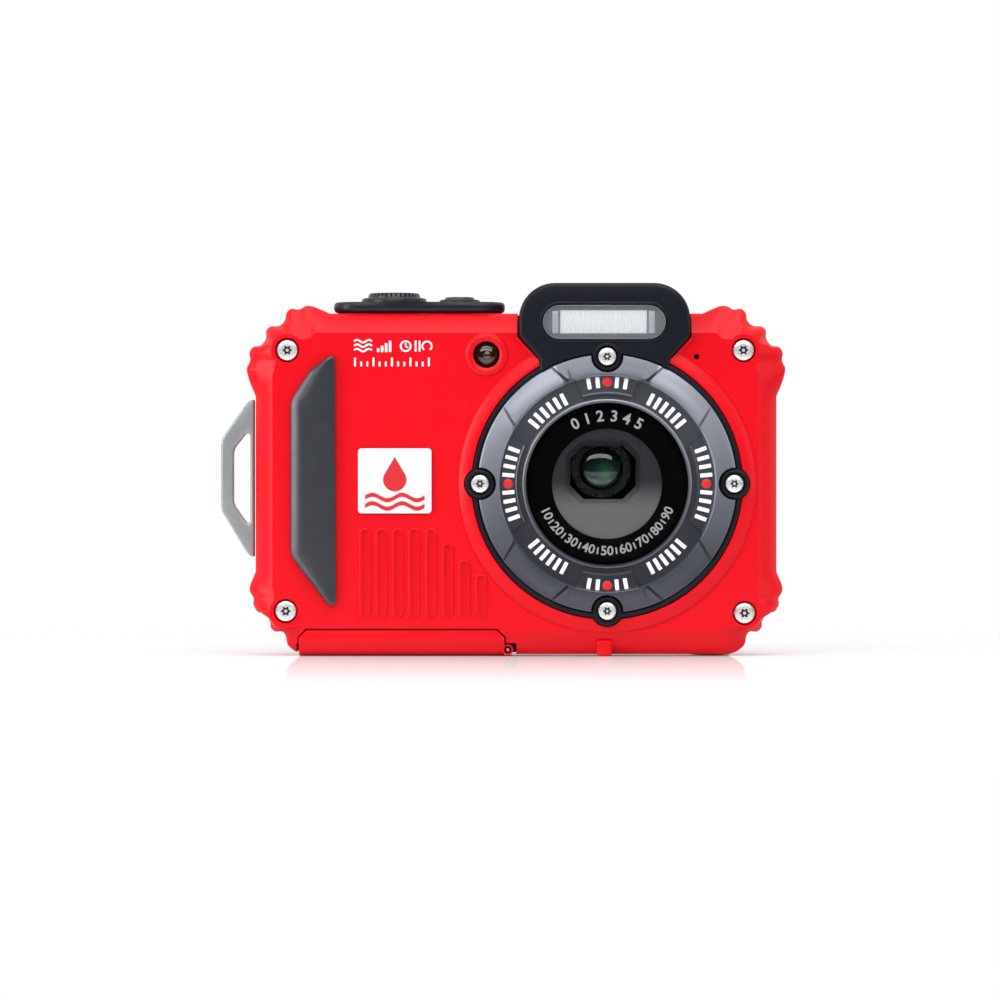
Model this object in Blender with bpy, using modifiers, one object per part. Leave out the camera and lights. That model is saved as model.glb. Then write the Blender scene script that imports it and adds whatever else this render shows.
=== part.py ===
"""Rugged waterproof compact digital camera, built as separate pieces.

Frame: metres, +Z up. The front of the camera faces -Y and +X is to the right as one looks at the front.
The origin is under the middle of the camera, on the plane that its base stands on.
"""

import math

import bmesh
import bpy
from mathutils import Matrix, Vector

MM = 0.001
GAP = 0.3 * MM  # between pieces that rest on each other
FAR = 30 * MM  # how far a cutter reaches when it goes right through

# Camera body
BODY_LEFT = -50.0 * MM
BODY_RIGHT = 55.3 * MM
BODY_TOP = 69.2 * MM
FRONT_Y = -10.6 * MM  # flat face of the front shell
REAR_Y = 12.9 * MM
HALF_DEPTH = 13.85 * MM  # from the middle to the lens ring's face
SPLIT_FRONT_Y = 5.4 * MM  # rim of the front shell
SPLIT_REAR_Y = 6.7 * MM  # rim of the rear shell
WALL = 2.0 * MM
EDGE_BEVEL = 3.4 * MM
BODY_MIDDLE = (BODY_LEFT + BODY_RIGHT) / 2

# Fasteners on the front, as (x, z)
CORNER_SCREWS = [
    (-43.5 * MM, 61.7 * MM), (48.5 * MM, 61.7 * MM), (-43.8 * MM, 9.1 * MM), (48.7 * MM, 8.7 * MM),
]
CORNER_SCREW_RADIUS = 2.1 * MM
RING_SCREW_RADIUS = 1.8 * MM
RING_SCREW_CIRCLE = 25.6 * MM

# Lens port
LENS_X = 20.96 * MM
LENS_Z = 34.76 * MM
COLLAR_RADIUS = 30.1 * MM
SURROUND_RADIUS = 27.1 * MM
SEAT_RADIUS = 27.4 * MM
EAR_RADIUS = 3.0 * MM  # round each of the ring's screws
RING_OUTER = 25.5 * MM
RING_INNER = 16.3 * MM
WINDOW_RADIUS = 15.9 * MM
MASK_RADIUS = 17.6 * MM
OPTIC_X = 19.8 * MM  # optical axis
OPTIC_Z = 37.9 * MM
BAFFLE_WIDTH = 13.8 * MM
BAFFLE_HEIGHT = 11.5 * MM

# Flash hood, above the lens
HOOD_LEFT = 3.2 * MM
HOOD_RIGHT = 37.7 * MM
HOOD_TOP = 75.2 * MM
HOOD_CORNER = 7.3 * MM
HOOD_WAIST_Z = 59.9 * MM
HOOD_WAIST = 4.1 * MM
HOOD_BACK_Y = 2.0 * MM
FLASH_LEFT = 8.1 * MM
FLASH_RIGHT = 32.7 * MM
FLASH_BOTTOM = 64.0 * MM
FLASH_TOP = 70.7 * MM

# Top controls
PLATE_LEFT = -34.3 * MM
PLATE_RIGHT = 0.4 * MM
PLATE_TOP = 71.6 * MM
SHUTTER_X = -22.1 * MM
SHUTTER_RADIUS = 5.4 * MM
SHUTTER_TOP = 73.5 * MM
POWER_X = -8.8 * MM
POWER_RADIUS = 3.05 * MM
POWER_TOP = 72.7 * MM
BUTTON_FOOT = 70.4 * MM

# Battery door, in the left of the base
DOOR_LEFT = -41.2 * MM
DOOR_RIGHT = 0.3 * MM
DOOR_LIP_TOP = 5.3 * MM
DOOR_FRONT_Y = -10.3 * MM
DOOR_BACK_Y = 4.6 * MM
HINGE_X = 1.0 * MM
HINGE_Z = 1.25 * MM
SOCKET_X = 42.1 * MM  # tripod socket

# Screen and keys on the back
SCREEN_LEFT = -9.5 * MM
SCREEN_RIGHT = 50.5 * MM
SCREEN_BOTTOM = 12.0 * MM
SCREEN_TOP = 58.0 * MM
KEY_TOP_Y = 13.5 * MM
KEY_FOOT_Y = 9.8 * MM
BOARD_Y = 7.9 * MM

# Corner ridges, as (x, z) from the shell's left side and its top or its base
TOP_RIDGES = [
    (0.0, -16.7), (-1.6, -12.5), (-1.8, -11.0), (-1.1, -9.5), (-1.3, -8.0), (-0.6, -6.8), (1.1, -6.4), (2.1, -5.0),
    (2.1, -3.5), (3.0, -2.6), (4.7, -2.5), (5.9, -1.4), (6.2, 0.1), (7.2, 1.0), (8.7, 0.8), (10.0, 1.5),
    (11.4, 1.5), (15.0, 0.0),
]
BASE_RIDGES = [
    (0.0, 17.0), (-1.1, 14.3), (-1.2, 13.1), (-0.4, 11.6), (-0.5, 10.5), (0.4, 8.9), (1.9, 8.6), (2.9, 7.0),
    (3.0, 5.8), (3.9, 4.9), (5.4, 4.9), (6.1, 3.9), (6.5, 2.2), (8.2, 0.8), (10.0, 0.3),
]

# Keys on the back, as (name, x, z, width, height)
KEYS = [
    ("tele_key", -35.0 * MM, 58.0 * MM, 8.0 * MM, 4.4 * MM),
    ("wide_key", -25.0 * MM, 58.0 * MM, 8.0 * MM, 4.4 * MM),
    ("record_key", -15.6 * MM, 58.0 * MM, 5.6 * MM, 5.6 * MM),
    ("play_key", -33.5 * MM, 48.5 * MM, 7.0 * MM, 4.0 * MM),
    ("menu_key", -18.5 * MM, 48.5 * MM, 7.0 * MM, 4.0 * MM),
    ("delete_key", -18.5 * MM, 17.0 * MM, 7.0 * MM, 4.0 * MM),
    ("nav_pad", -26.0 * MM, 33.0 * MM, 18.0 * MM, 18.0 * MM),
    ("ok_key", -26.0 * MM, 33.0 * MM, 7.4 * MM, 7.4 * MM),
]

# For a flat outline: its two directions and the way that it gets its thickness, as the columns of a matrix.
PLANES = {
    "X": Matrix(((0, 0, 1, 0), (1, 0, 0, 0), (0, 1, 0, 0), (0, 0, 0, 1))),
    "Y": Matrix(((1, 0, 0, 0), (0, 0, -1, 0), (0, 1, 0, 0), (0, 0, 0, 1))),
    "Z": Matrix.Identity(4),
}

part = bpy.data.collections.new("compact_camera")
helpers = bpy.data.collections.new("cutters")
materials = {}


def clear_scene():
    for obj in list(bpy.data.objects):
        bpy.data.objects.remove(obj, do_unlink=True)


def finish(name, colour, roughness, metallic=0.0):
    """A Principled material, made once for each name."""
    if name not in materials:
        made = bpy.data.materials.new(name)
        made.use_nodes = True
        shader = made.node_tree.nodes["Principled BSDF"]
        shader.inputs["Base Color"].default_value = (*colour, 1.0)
        shader.inputs["Roughness"].default_value = roughness
        shader.inputs["Metallic"].default_value = metallic
        made.diffuse_color = (*colour, 1.0)
        materials[name] = made
    return materials[name]


def place(name, mesh, look=None):
    """Puts a mesh in the scene: as a piece when it has a look, and as a hidden helper when it has none."""
    obj = bpy.data.objects.new(name, mesh)
    if look is None:
        helpers.objects.link(obj)
        obj.hide_render = True
        obj.display_type = "WIRE"
    else:
        part.objects.link(obj)
        mesh.materials.clear()
        mesh.materials.append(look)
    return obj


def box(name, low, high, look=None, bevel=0.0):
    bm = bmesh.new()
    low, high = Vector(low), Vector(high)
    size = Matrix.Diagonal((*(high - low), 1.0))
    bmesh.ops.create_cube(bm, size=1.0, matrix=Matrix.Translation((low + high) / 2) @ size)
    mesh = bpy.data.meshes.new(name)
    bm.to_mesh(mesh)
    bm.free()
    obj = place(name, mesh, look)
    if bevel:
        round_edges(obj, bevel)
    return obj


def rod(name, radius, start, end, look=None, sides=16, end_radius=None):
    """A cylinder, or a cone where end_radius is given, between two points."""
    start, end = Vector(start), Vector(end)
    turn = (end - start).to_track_quat("Z", "Y").to_matrix().to_4x4()
    bm = bmesh.new()
    bmesh.ops.create_cone(
        bm, cap_ends=True, segments=sides, radius1=radius,
        radius2=radius if end_radius is None else end_radius,
        depth=(end - start).length, matrix=Matrix.Translation((start + end) / 2) @ turn,
    )
    mesh = bpy.data.meshes.new(name)
    bm.to_mesh(mesh)
    bm.free()
    mesh.shade_smooth()
    mesh.set_sharp_from_angle(angle=math.radians(35))
    return place(name, mesh, look)


def plate(name, loops, front, back, look=None, normal="Y"):
    """A flat outline, with a hole for each further loop, made solid between two heights along normal."""
    curve = bpy.data.curves.new(name, "CURVE")
    curve.dimensions = "2D"
    curve.fill_mode = "BOTH"
    curve.extrude = abs(back - front) / 2
    for loop in loops:
        spline = curve.splines.new("POLY")
        spline.points.add(len(loop) - 1)
        for point, (across, up) in zip(spline.points, loop):
            point.co = (across, up, 0.0, 1.0)
        spline.use_cyclic_u = True
    guide = bpy.data.objects.new(name + "_outline", curve)
    helpers.objects.link(guide)
    middle = Vector([(front + back) / 2 * (axis == normal) for axis in "XYZ"])
    guide.matrix_world = Matrix.Translation(middle) @ PLANES[normal]
    graph = bpy.context.evaluated_depsgraph_get()
    mesh = bpy.data.meshes.new_from_object(guide.evaluated_get(graph))
    bm = bmesh.new()
    bm.from_mesh(mesh)
    bmesh.ops.remove_doubles(bm, verts=bm.verts, dist=1e-6)
    bmesh.ops.recalc_face_normals(bm, faces=bm.faces)
    bm.to_mesh(mesh)
    bm.free()
    obj = place(name, mesh, look)
    obj.matrix_world = guide.matrix_world
    bpy.data.objects.remove(guide, do_unlink=True)
    return obj


def turned(name, profile, centre, look=None, steps=40, closed=False, axis="Y"):
    """A turned piece from (radius, height) pairs running down its outer side; heights run to -Y, or up for axis Z."""
    mesh = bpy.data.meshes.new(name)
    count = len(profile)
    edges = [(i, i + 1) for i in range(count - 1)] + ([(count - 1, 0)] if closed else [])
    mesh.from_pydata([(radius, 0.0, height) for radius, height in profile], edges, [])
    obj = place(name, mesh, look)
    obj.location = centre
    if axis == "Y":
        obj.rotation_euler = (math.pi / 2, 0, 0)
    screw = obj.modifiers.new("Turn", "SCREW")
    screw.steps = screw.render_steps = steps
    screw.use_merge_vertices = True
    screw.merge_threshold = 1e-6
    screw.use_smooth_shade = False
    return obj


def round_edges(obj, width, segments=1, angle=40):
    bevel = obj.modifiers.new("Round", "BEVEL")
    bevel.width = width
    bevel.segments = segments
    bevel.limit_method = "ANGLE"
    bevel.angle_limit = math.radians(angle)
    return bevel


def combine(obj, operation, others):
    for other in others:
        boolean = obj.modifiers.new(operation.title(), "BOOLEAN")
        boolean.operation = operation
        boolean.solver = "EXACT"
        boolean.object = other
    return obj


def cut(obj, *others):
    return combine(obj, "DIFFERENCE", others)


def join(obj, *others):
    return combine(obj, "UNION", others)


def arc(x, z, radius, start, end, count):
    """Points on a circle, from one angle to another in degrees."""
    turns = [math.radians(start + (end - start) * i / count) for i in range(count + 1)]
    return [(x + radius * math.cos(turn), z + radius * math.sin(turn)) for turn in turns]


def rounded(left, bottom, right, top, radius, count=3):
    """A rectangle with round corners."""
    corners = [(right, top, 0), (left, top, 90), (left, bottom, 180), (right, bottom, 270)]
    points = []
    for x, z, start in corners:
        inner_x = x - math.copysign(radius, x - (left + right) / 2)
        inner_z = z - math.copysign(radius, z - (bottom + top) / 2)
        points += arc(inner_x, inner_z, radius, start, start + 90, count)
    return points


def clipped(inset, top_clip, base_clip):
    """The shell's outline drawn in by inset, with straight cuts over its corners."""
    left, right, bottom, top = BODY_LEFT + inset, BODY_RIGHT - inset, inset, BODY_TOP - inset
    return [
        (left, bottom + base_clip), (left + base_clip, bottom), (right - base_clip, bottom),
        (right, bottom + base_clip), (right, top - top_clip), (right - top_clip, top), (left + top_clip, top),
        (left, top - top_clip),
    ]


def ridge_blocks(name, front, back):
    """The four corner bumpers, each a ridged outline that runs into the shell."""
    blocks = []
    rows = {"top": (TOP_RIDGES, BODY_TOP, -1), "base": (BASE_RIDGES, 0.0, 1)}
    for corner, (ridges, edge, inward) in rows.items():
        left = [(BODY_LEFT + x * MM, edge + z * MM) for x, z in ridges]
        left[0], left[-1] = (left[0][0] + MM, left[0][1]), (left[-1][0], left[-1][1] + inward * MM)
        left.append((BODY_LEFT + 9.5 * MM, edge + inward * 9.5 * MM))
        right = [(2 * BODY_MIDDLE - x, z) for x, z in left]
        for side, points in (("left", left), ("right", right)):
            blocks.append(plate(f"{name}_{corner}_{side}", [points], front, back))
    return blocks


def looks():
    """The finishes that pieces share."""
    return {
        "red": finish("red_shell", (0.78, 0.01, 0.03), 0.35),
        "black": finish("black_plastic", (0.03, 0.035, 0.045), 0.4),
        "ring": finish("grey_ring", (0.13, 0.14, 0.16), 0.45),
        "rubber": finish("rubber", (0.04, 0.045, 0.055), 0.8),
        "seal": finish("seal_rubber", (0.25, 0.08, 0.02), 0.7),
        "steel": finish("screw_steel", (0.6, 0.61, 0.6), 0.3, 1.0),
        "bracket": finish("bracket_metal", (0.25, 0.27, 0.28), 0.45, 0.8),
        "brass": finish("brass", (0.6, 0.42, 0.15), 0.35, 1.0),
        "glass": finish("clear_glass", (0.05, 0.06, 0.07), 0.05),
        "lens": finish("coated_lens", (0.02, 0.12, 0.08), 0.05),
        "white": finish("white_badge", (0.85, 0.82, 0.85), 0.4),
        "mirror": finish("bright_reflector", (0.8, 0.8, 0.8), 0.15, 1.0),
        "frame": finish("grey_frame", (0.16, 0.14, 0.13), 0.55),
        "board": finish("board_green", (0.03, 0.18, 0.08), 0.5),
        "cell": finish("battery_wrap", (0.08, 0.08, 0.09), 0.5),
    }


def build_front_shell(look):
    cut_corner = 9.5 * MM
    shell = plate("front_shell", [clipped(0.0, cut_corner, cut_corner)], FRONT_Y, SPLIT_FRONT_Y, look["red"])
    bevel_front(shell, FRONT_Y, EDGE_BEVEL, segments=2)
    join(shell, *ridge_blocks("front_ridges", -7.4 * MM, SPLIT_FRONT_Y - 0.2 * MM))
    for number, (x, z) in enumerate(CORNER_SCREWS, 1):
        join(shell, rod(f"screw_boss_{number}", 3.4 * MM, (x, -10.4 * MM, z), (x, 0, z), sides=16))
    collar = turned(
        "lens_collar",
        [(26.9 * MM, 12.0 * MM), (28.2 * MM, 12.0 * MM), (COLLAR_RADIUS, 10.9 * MM), (COLLAR_RADIUS, 9.4 * MM),
         (26.9 * MM, 9.4 * MM)],
        (LENS_X, 0, LENS_Z), closed=True,
    )
    lamp_x, lamp_z = -3.34 * MM, 60.8 * MM
    lamp_rim = rod("lamp_rim", 4.4 * MM, (lamp_x, -10.0 * MM, lamp_z), (lamp_x, -11.0 * MM, lamp_z))
    foot = box("front_foot", (18.9 * MM, -10.2 * MM, 0.04 * MM), (22.0 * MM, -6.0 * MM, 3.1 * MM))
    join(shell, collar, lamp_rim, foot)
    inner_front = FRONT_Y + WALL
    cavity = plate("front_cavity", [clipped(2.2 * MM, 13.5 * MM, 13.0 * MM)], inner_front, SPLIT_FRONT_Y + MM)
    port = rod("lens_port", 24.0 * MM, (LENS_X, -FAR, LENS_Z), (LENS_X, -5 * MM, LENS_Z), sides=40)
    surround_seat = plate("surround_seat", [seat_outline()], -FAR, -9.6 * MM)
    hood_seat = plate("hood_seat", [hood_outline(GAP)], -FAR, HOOD_BACK_Y + GAP)
    lamp_hole = rod("lamp_hole", 2.7 * MM, (lamp_x, -FAR, lamp_z), (lamp_x, 0, lamp_z))
    mic_hole = rod("mic_hole", 0.55 * MM, (39.0 * MM, -FAR, 60.4 * MM), (39.0 * MM, 0, 60.4 * MM), sides=12)
    door_hole = box(
        "door_hole", (DOOR_LEFT - 0.5 * MM, -FAR, -FAR), (DOOR_RIGHT + 2.4 * MM, DOOR_BACK_Y + GAP, 2.6 * MM))
    lip_hole = box(
        "lip_hole", (DOOR_LEFT - 0.5 * MM, -FAR, -FAR), (DOOR_RIGHT + GAP, -7 * MM, DOOR_LIP_TOP + GAP))
    door_well = box("door_well", (-40.3 * MM, -8.3 * MM, -0.01), (-1.0 * MM, DOOR_BACK_Y + GAP, 6.3 * MM))
    socket_hole = rod("socket_hole", 4.5 * MM, (SOCKET_X, -MM, -10 * MM), (SOCKET_X, -MM, 10 * MM), sides=32)
    cut(shell, cavity, port, surround_seat, hood_seat, lamp_hole, mic_hole)
    cut(shell, door_hole, lip_hole, door_well, socket_hole)
    for number, (x, z) in enumerate(CORNER_SCREWS, 1):
        cut(shell, rod(f"screw_head_hole_{number}", 2.45 * MM, (x, -FAR, z), (x, -8.75 * MM, z)))
        cut(shell, rod(f"screw_hole_{number}", 1.35 * MM, (x, -FAR, z), (x, FAR, z), sides=16))


def bevel_front(obj, face_y, width, segments=1):
    """Chamfers the edges of the front or the back face only, through a vertex group."""
    group = obj.vertex_groups.new(name="face_edge")
    edge = [v.index for v in obj.data.vertices if abs((obj.matrix_world @ v.co).y - face_y) < 1e-5]
    group.add(edge, 1.0, "REPLACE")
    bevel = round_edges(obj, width, segments)
    bevel.limit_method = "VGROUP"
    bevel.vertex_group = "face_edge"


def build_rear_shell(look):
    cut_corner = 9.5 * MM
    shell = plate("rear_shell", [clipped(0.0, cut_corner, cut_corner)], SPLIT_REAR_Y, REAR_Y, look["red"])
    bevel_front(shell, REAR_Y, EDGE_BEVEL, segments=2)
    join(shell, *ridge_blocks("rear_ridges", SPLIT_REAR_Y + 0.2 * MM, 9.3 * MM))
    cavity = plate("rear_cavity", [clipped(2.2 * MM, 13.5 * MM, 13.0 * MM)], SPLIT_REAR_Y - MM, REAR_Y - WALL)
    low, high = (SCREEN_LEFT, SCREEN_BOTTOM), (SCREEN_RIGHT, SCREEN_TOP)
    ledge = 1.6 * MM
    screen_seat = box(
        "screen_seat", (low[0] - GAP, 11.2 * MM, low[1] - GAP), (high[0] + GAP, FAR, high[1] + GAP))
    screen_hole = box(
        "screen_hole", (low[0] + ledge, 0, low[1] + ledge), (high[0] - ledge, FAR, high[1] - ledge))
    cut(shell, cavity, screen_seat, screen_hole)
    for number, (x, z) in enumerate(CORNER_SCREWS, 1):
        cut(shell, rod(f"rear_screw_hole_{number}", 1.35 * MM, (x, 0, z), (x, 10.9 * MM, z), sides=16))
    for name, x, z, width, height in KEYS:
        if name == "nav_pad":
            cut(shell, rod("nav_hole", width / 2 + GAP, (x, 0, z), (x, FAR, z), sides=32))
        elif name != "ok_key":
            half, rise = width / 2 + GAP, height / 2 + GAP
            outline = rounded(x - half, z - rise, x + half, z + rise, height / 2)
            cut(shell, plate(name + "_hole", [outline], 6 * MM, 16 * MM))
    for number in range(4):
        left = (-44.0 + 1.6 * number) * MM
        cut(shell, box(f"sound_slot_{number}", (left, 0, 13 * MM), (left + 0.8 * MM, FAR, 17 * MM)))


def build_seal(look):
    outer = clipped(1.1 * MM, 14.6 * MM, 15.2 * MM)
    inner = clipped(2.1 * MM, 14.0 * MM, 14.6 * MM)
    plate("main_seal", [outer, inner], SPLIT_FRONT_Y + GAP, SPLIT_REAR_Y - GAP, look["seal"])


def build_lens_port(look):
    centre = (LENS_X, 0, LENS_Z)
    surround = turned(
        "lens_surround",
        [(12.9 * MM, 10.0 * MM), (17.9 * MM, 10.0 * MM), (17.9 * MM, 11.1 * MM), (25.8 * MM, 11.1 * MM),
         (25.8 * MM, 12.4 * MM), (26.8 * MM, 12.4 * MM), (SURROUND_RADIUS, 12.1 * MM), (SURROUND_RADIUS, 9.9 * MM),
         (23.6 * MM, 9.9 * MM), (23.6 * MM, 8.8 * MM), (12.9 * MM, 8.8 * MM)],
        centre, look["black"], closed=True,
    )
    hood = plate("flash_hood", [hood_outline()], -12.8 * MM, HOOD_BACK_Y)
    round_edges(hood, 0.7 * MM, segments=1, angle=60)
    inside = rod("hood_inside", 23.8 * MM, (LENS_X, -FAR, LENS_Z), (LENS_X, 0.01, LENS_Z), sides=32)
    ring_room = rod("ring_room", 25.9 * MM, (LENS_X, -FAR, LENS_Z), (LENS_X, -10.9 * MM, LENS_Z), sides=32)
    cut(hood, inside, ring_room, box("hood_under", (0, -9.9 * MM, 0), (0.05, 0.02, 61.0 * MM)))
    join(surround, hood)
    ring = turned(
        "lens_ring",
        [(RING_INNER, 12.7 * MM), (16.9 * MM, 13.3 * MM), (18.3 * MM, 13.3 * MM), (18.6 * MM, 12.9 * MM),
         (21.7 * MM, 12.9 * MM), (21.9 * MM, HALF_DEPTH), (22.4 * MM, HALF_DEPTH), (RING_OUTER, 12.6 * MM),
         (RING_OUTER, 11.4 * MM), (RING_INNER, 11.4 * MM)],
        centre, look["ring"], closed=True,
    )
    heads = []
    for number in range(4):
        turn = math.pi / 2 * number
        x, z = LENS_X + RING_SCREW_CIRCLE * math.cos(turn), LENS_Z + RING_SCREW_CIRCLE * math.sin(turn)
        join(surround, rod(f"ear_{number}", EAR_RADIUS, (x, -13.0 * MM, z), (x, -9.9 * MM, z), sides=16))
        cut(ring, rod(f"ear_room_{number}", 3.25 * MM, (x, -FAR, z), (x, 0, z), sides=16))
        heads.append((x, z))
    window_seat = plate("flash_window_seat", [flash_outline(GAP)], -20 * MM, -11.1 * MM)
    flash_bay = box("flash_bay", (9.6 * MM, -12 * MM, 64.6 * MM), (31.2 * MM, -2.5 * MM, 70.1 * MM))
    cut(surround, window_seat, flash_bay)
    for number, (x, z) in enumerate(heads, 1):
        cut(surround, rod(f"ear_counterbore_{number}", 2.2 * MM, (x, -FAR, z), (x, -12.0 * MM, z), sides=12))
        cut(surround, rod(f"ear_hole_{number}", 1.1 * MM, (x, -FAR, z), (x, 0.01, z), sides=12))
        screw(f"ring_screw_{number}", (x, z), RING_SCREW_RADIUS, -12.9 * MM, -12.3 * MM, 0.8 * MM, -8.2 * MM, look)
        shell = bpy.data.objects["front_shell"]
        cut(shell, rod(f"ring_screw_hole_{number}", 1.15 * MM, (x, -FAR, z), (x, -5 * MM, z), sides=12))
    turned(
        "lens_window",
        [(0, 12.9 * MM), (15.5 * MM, 12.9 * MM), (WINDOW_RADIUS, 12.5 * MM), (WINDOW_RADIUS, 11.3 * MM),
         (0, 11.3 * MM)],
        centre, look["glass"],
    )
    build_baffle(look)


def seat_outline():
    """The hole for the lens surround: a circle with a bay round each ear of the ring's screws."""
    radius, bay, reach = SEAT_RADIUS, EAR_RADIUS + GAP, RING_SCREW_CIRCLE
    half = math.degrees(math.acos((radius ** 2 + reach ** 2 - bay ** 2) / (2 * radius * reach)))
    lean = math.degrees(math.acos((reach ** 2 + bay ** 2 - radius ** 2) / (2 * reach * bay)))
    points = []
    for quarter in (0, 90, 180, 270):
        turn = math.radians(quarter)
        x, z = LENS_X + reach * math.cos(turn), LENS_Z + reach * math.sin(turn)
        points += arc(x, z, bay, quarter - 180 + lean, quarter + 180 - lean, 8)
        points += arc(LENS_X, LENS_Z, radius, quarter + half, quarter + 90 - half, 9)[1:-1]
    return points


def hood_outline(grow=0.0):
    """The arch over the flash, waisted where it meets the round border of the lens port."""
    left, right, corner = HOOD_LEFT - grow, HOOD_RIGHT + grow, HOOD_CORNER + grow
    arch = HOOD_TOP - HOOD_CORNER
    flare, foot = 64.4 * MM, 55.0 * MM + 6 * grow
    return (
        arc(right - corner, arch, corner, 0, 90, 6) + arc(left + corner, arch, corner, 90, 180, 6)
        + [(left, flare), (left + HOOD_WAIST, HOOD_WAIST_Z), (left + HOOD_WAIST, foot),
           (right - HOOD_WAIST, foot), (right - HOOD_WAIST, HOOD_WAIST_Z), (right, flare)]
    )


def flash_outline(grow):
    radius = (FLASH_TOP - FLASH_BOTTOM) / 2 + grow
    left, right = FLASH_LEFT - grow, FLASH_RIGHT + grow
    return rounded(left, FLASH_BOTTOM - grow, right, FLASH_TOP + grow, radius - 0.001 * MM)


def build_baffle(look):
    """The black printed mask behind the window, with its stepped opening for the lens."""
    front, back = -11.0 * MM, -10.3 * MM
    mask = rod("lens_mask", MASK_RADIUS, (LENS_X, front, LENS_Z), (LENS_X, back, LENS_Z), look["frame"], sides=40)
    middle_x, middle_z = 20.2 * MM, 37.1 * MM
    wide, high = BAFFLE_WIDTH / 2, BAFFLE_HEIGHT / 2
    rim = 1.0 * MM
    funnel = box(
        "baffle_funnel", (middle_x - wide - rim, -10.6 * MM, middle_z - high - rim / 2),
        (middle_x + wide + rim, -8.2 * MM, middle_z + high + rim / 2))
    opening = plate(
        "baffle_opening", [rounded(middle_x - wide, middle_z - high, middle_x + wide, middle_z + high, 2 * MM)],
        -12 * MM, -7 * MM)
    join(mask, funnel)
    cut(mask, opening)


def screw(name, where, head_radius, head_front, head_back, shaft_radius, shaft_end, look):
    x, z = where
    head = rod(
        name, head_radius * 0.92, (x, head_front, z), (x, head_back, z), look["steel"], sides=20,
        end_radius=head_radius)
    shaft = rod(name + "_shaft", shaft_radius, (x, head_back - 0.2 * MM, z), (x, shaft_end, z), sides=12)
    floor = head_front + 0.35 * MM
    socket = rod(name + "_socket", head_radius * 0.45, (x, head_front - MM, z), (x, floor, z), sides=6)
    join(head, shaft)
    cut(head, socket)


def build_corner_screws(look):
    for number, where in enumerate(CORNER_SCREWS, 1):
        screw(f"front_screw_{number}", where, CORNER_SCREW_RADIUS, -10.3 * MM, -9.0 * MM, MM, 10.3 * MM, look)


def build_flash(look):
    plate("flash_window", [flash_outline(0.0)], -12.5 * MM, -11.4 * MM, look["glass"])
    bay = box(
        "flash_reflector", (10.0 * MM, -11.0 * MM, 64.9 * MM), (30.8 * MM, -4.0 * MM, 69.8 * MM), look["mirror"])
    cut(bay, box("reflector_hollow", (11.0 * MM, -12 * MM, 65.6 * MM), (29.8 * MM, -5.0 * MM, 69.1 * MM)))
    tube_y, tube_z = -7.6 * MM, 67.35 * MM
    rod("flash_tube", 0.9 * MM, (11.4 * MM, tube_y, tube_z), (29.4 * MM, tube_y, tube_z), look["glass"], sides=12)
    rod("flash_capacitor", 3.5 * MM, (-22 * MM, -3 * MM, 53.5 * MM), (-1 * MM, -3 * MM, 53.5 * MM), look["cell"])


def build_top_controls(look):
    front, back = -7.6 * MM, 5.2 * MM
    middle_y = (front + back) / 2
    outline = rounded(PLATE_LEFT, front, PLATE_RIGHT, back, 5 * MM)
    cover = plate("top_plate", [outline], BODY_TOP + GAP, PLATE_TOP, look["black"], normal="Z")
    round_edges(cover, 0.8 * MM, segments=2, angle=60)
    controls = (
        ("shutter_button", SHUTTER_X, SHUTTER_RADIUS, SHUTTER_TOP, 5.95 * MM, 72.5 * MM),
        ("power_button", POWER_X, POWER_RADIUS, POWER_TOP, 4.16 * MM, 71.95 * MM),
    )
    for name, x, _, _, collar, collar_top in controls:
        join(cover, rod(name + "_collar", collar, (x, middle_y, 70.5 * MM), (x, middle_y, collar_top), sides=32))
    for name, x, radius, top, _, _ in controls:
        cut(cover, rod(name + "_hole", radius + GAP, (x, middle_y, 0.05), (x, middle_y, 0.09), sides=32))
        edge = 0.35 * MM
        turned(
            name, [(0, top), (radius - edge, top), (radius, top - edge), (radius, BUTTON_FOOT), (0, BUTTON_FOOT)],
            (x, middle_y, 0), look["black"], steps=32, axis="Z")


def build_front_trim(look):
    x, z = -3.34 * MM, 60.8 * MM
    turned(
        "af_lamp_lens",
        [(0, 11.0 * MM), (1.4 * MM, 10.8 * MM), (2.3 * MM, 10.3 * MM), (2.3 * MM, 8.9 * MM), (0, 8.9 * MM)],
        (x, 0, z), look["glass"], steps=20)
    grip = [
        (-33.8, 60.2), (-34.9, 60.6), (-38.7, 57.8), (-42.5, 52.0), (-42.8, 50.8), (-42.8, 21.0), (-42.2, 19.6),
        (-35.4, 10.6), (-34.4, 10.1), (-33.4, 10.9),
    ]
    pad = plate("grip_pad", [[(x * MM, z * MM) for x, z in grip]], -12.9 * MM, FRONT_Y - GAP, look["rubber"])
    bevel_front(pad, -12.9 * MM, 1.5 * MM)
    badge = rounded(-29.2 * MM, 28.8 * MM, -14.4 * MM, 41.9 * MM, 0.6 * MM)
    plate("badge", [badge], -11.2 * MM, FRONT_Y - GAP, look["white"])


def build_strap_bracket(look):
    """The metal eye for the strap, on the left side of the shell."""
    inner, outer = BODY_LEFT - GAP, -57.1 * MM
    outline = [
        (inner, 51.7 * MM), (-51.4 * MM, 51.7 * MM), (outer, 43.6 * MM), (outer, 29.5 * MM),
        (-51.4 * MM, 20.0 * MM), (inner, 20.0 * MM),
    ]
    slot_left, slot_right = -55.3 * MM, -50.9 * MM
    slot = [
        (slot_right, 27.0 * MM), (slot_right, 44.8 * MM), (-52.0 * MM, 44.8 * MM), (slot_left, 42.0 * MM),
        (slot_left, 31.0 * MM), (-52.0 * MM, 27.0 * MM),
    ]
    bracket = plate("strap_bracket", [outline, slot], -5.6 * MM, -2.0 * MM, look["bracket"])
    round_edges(bracket, 0.4 * MM, segments=1, angle=60)


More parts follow.
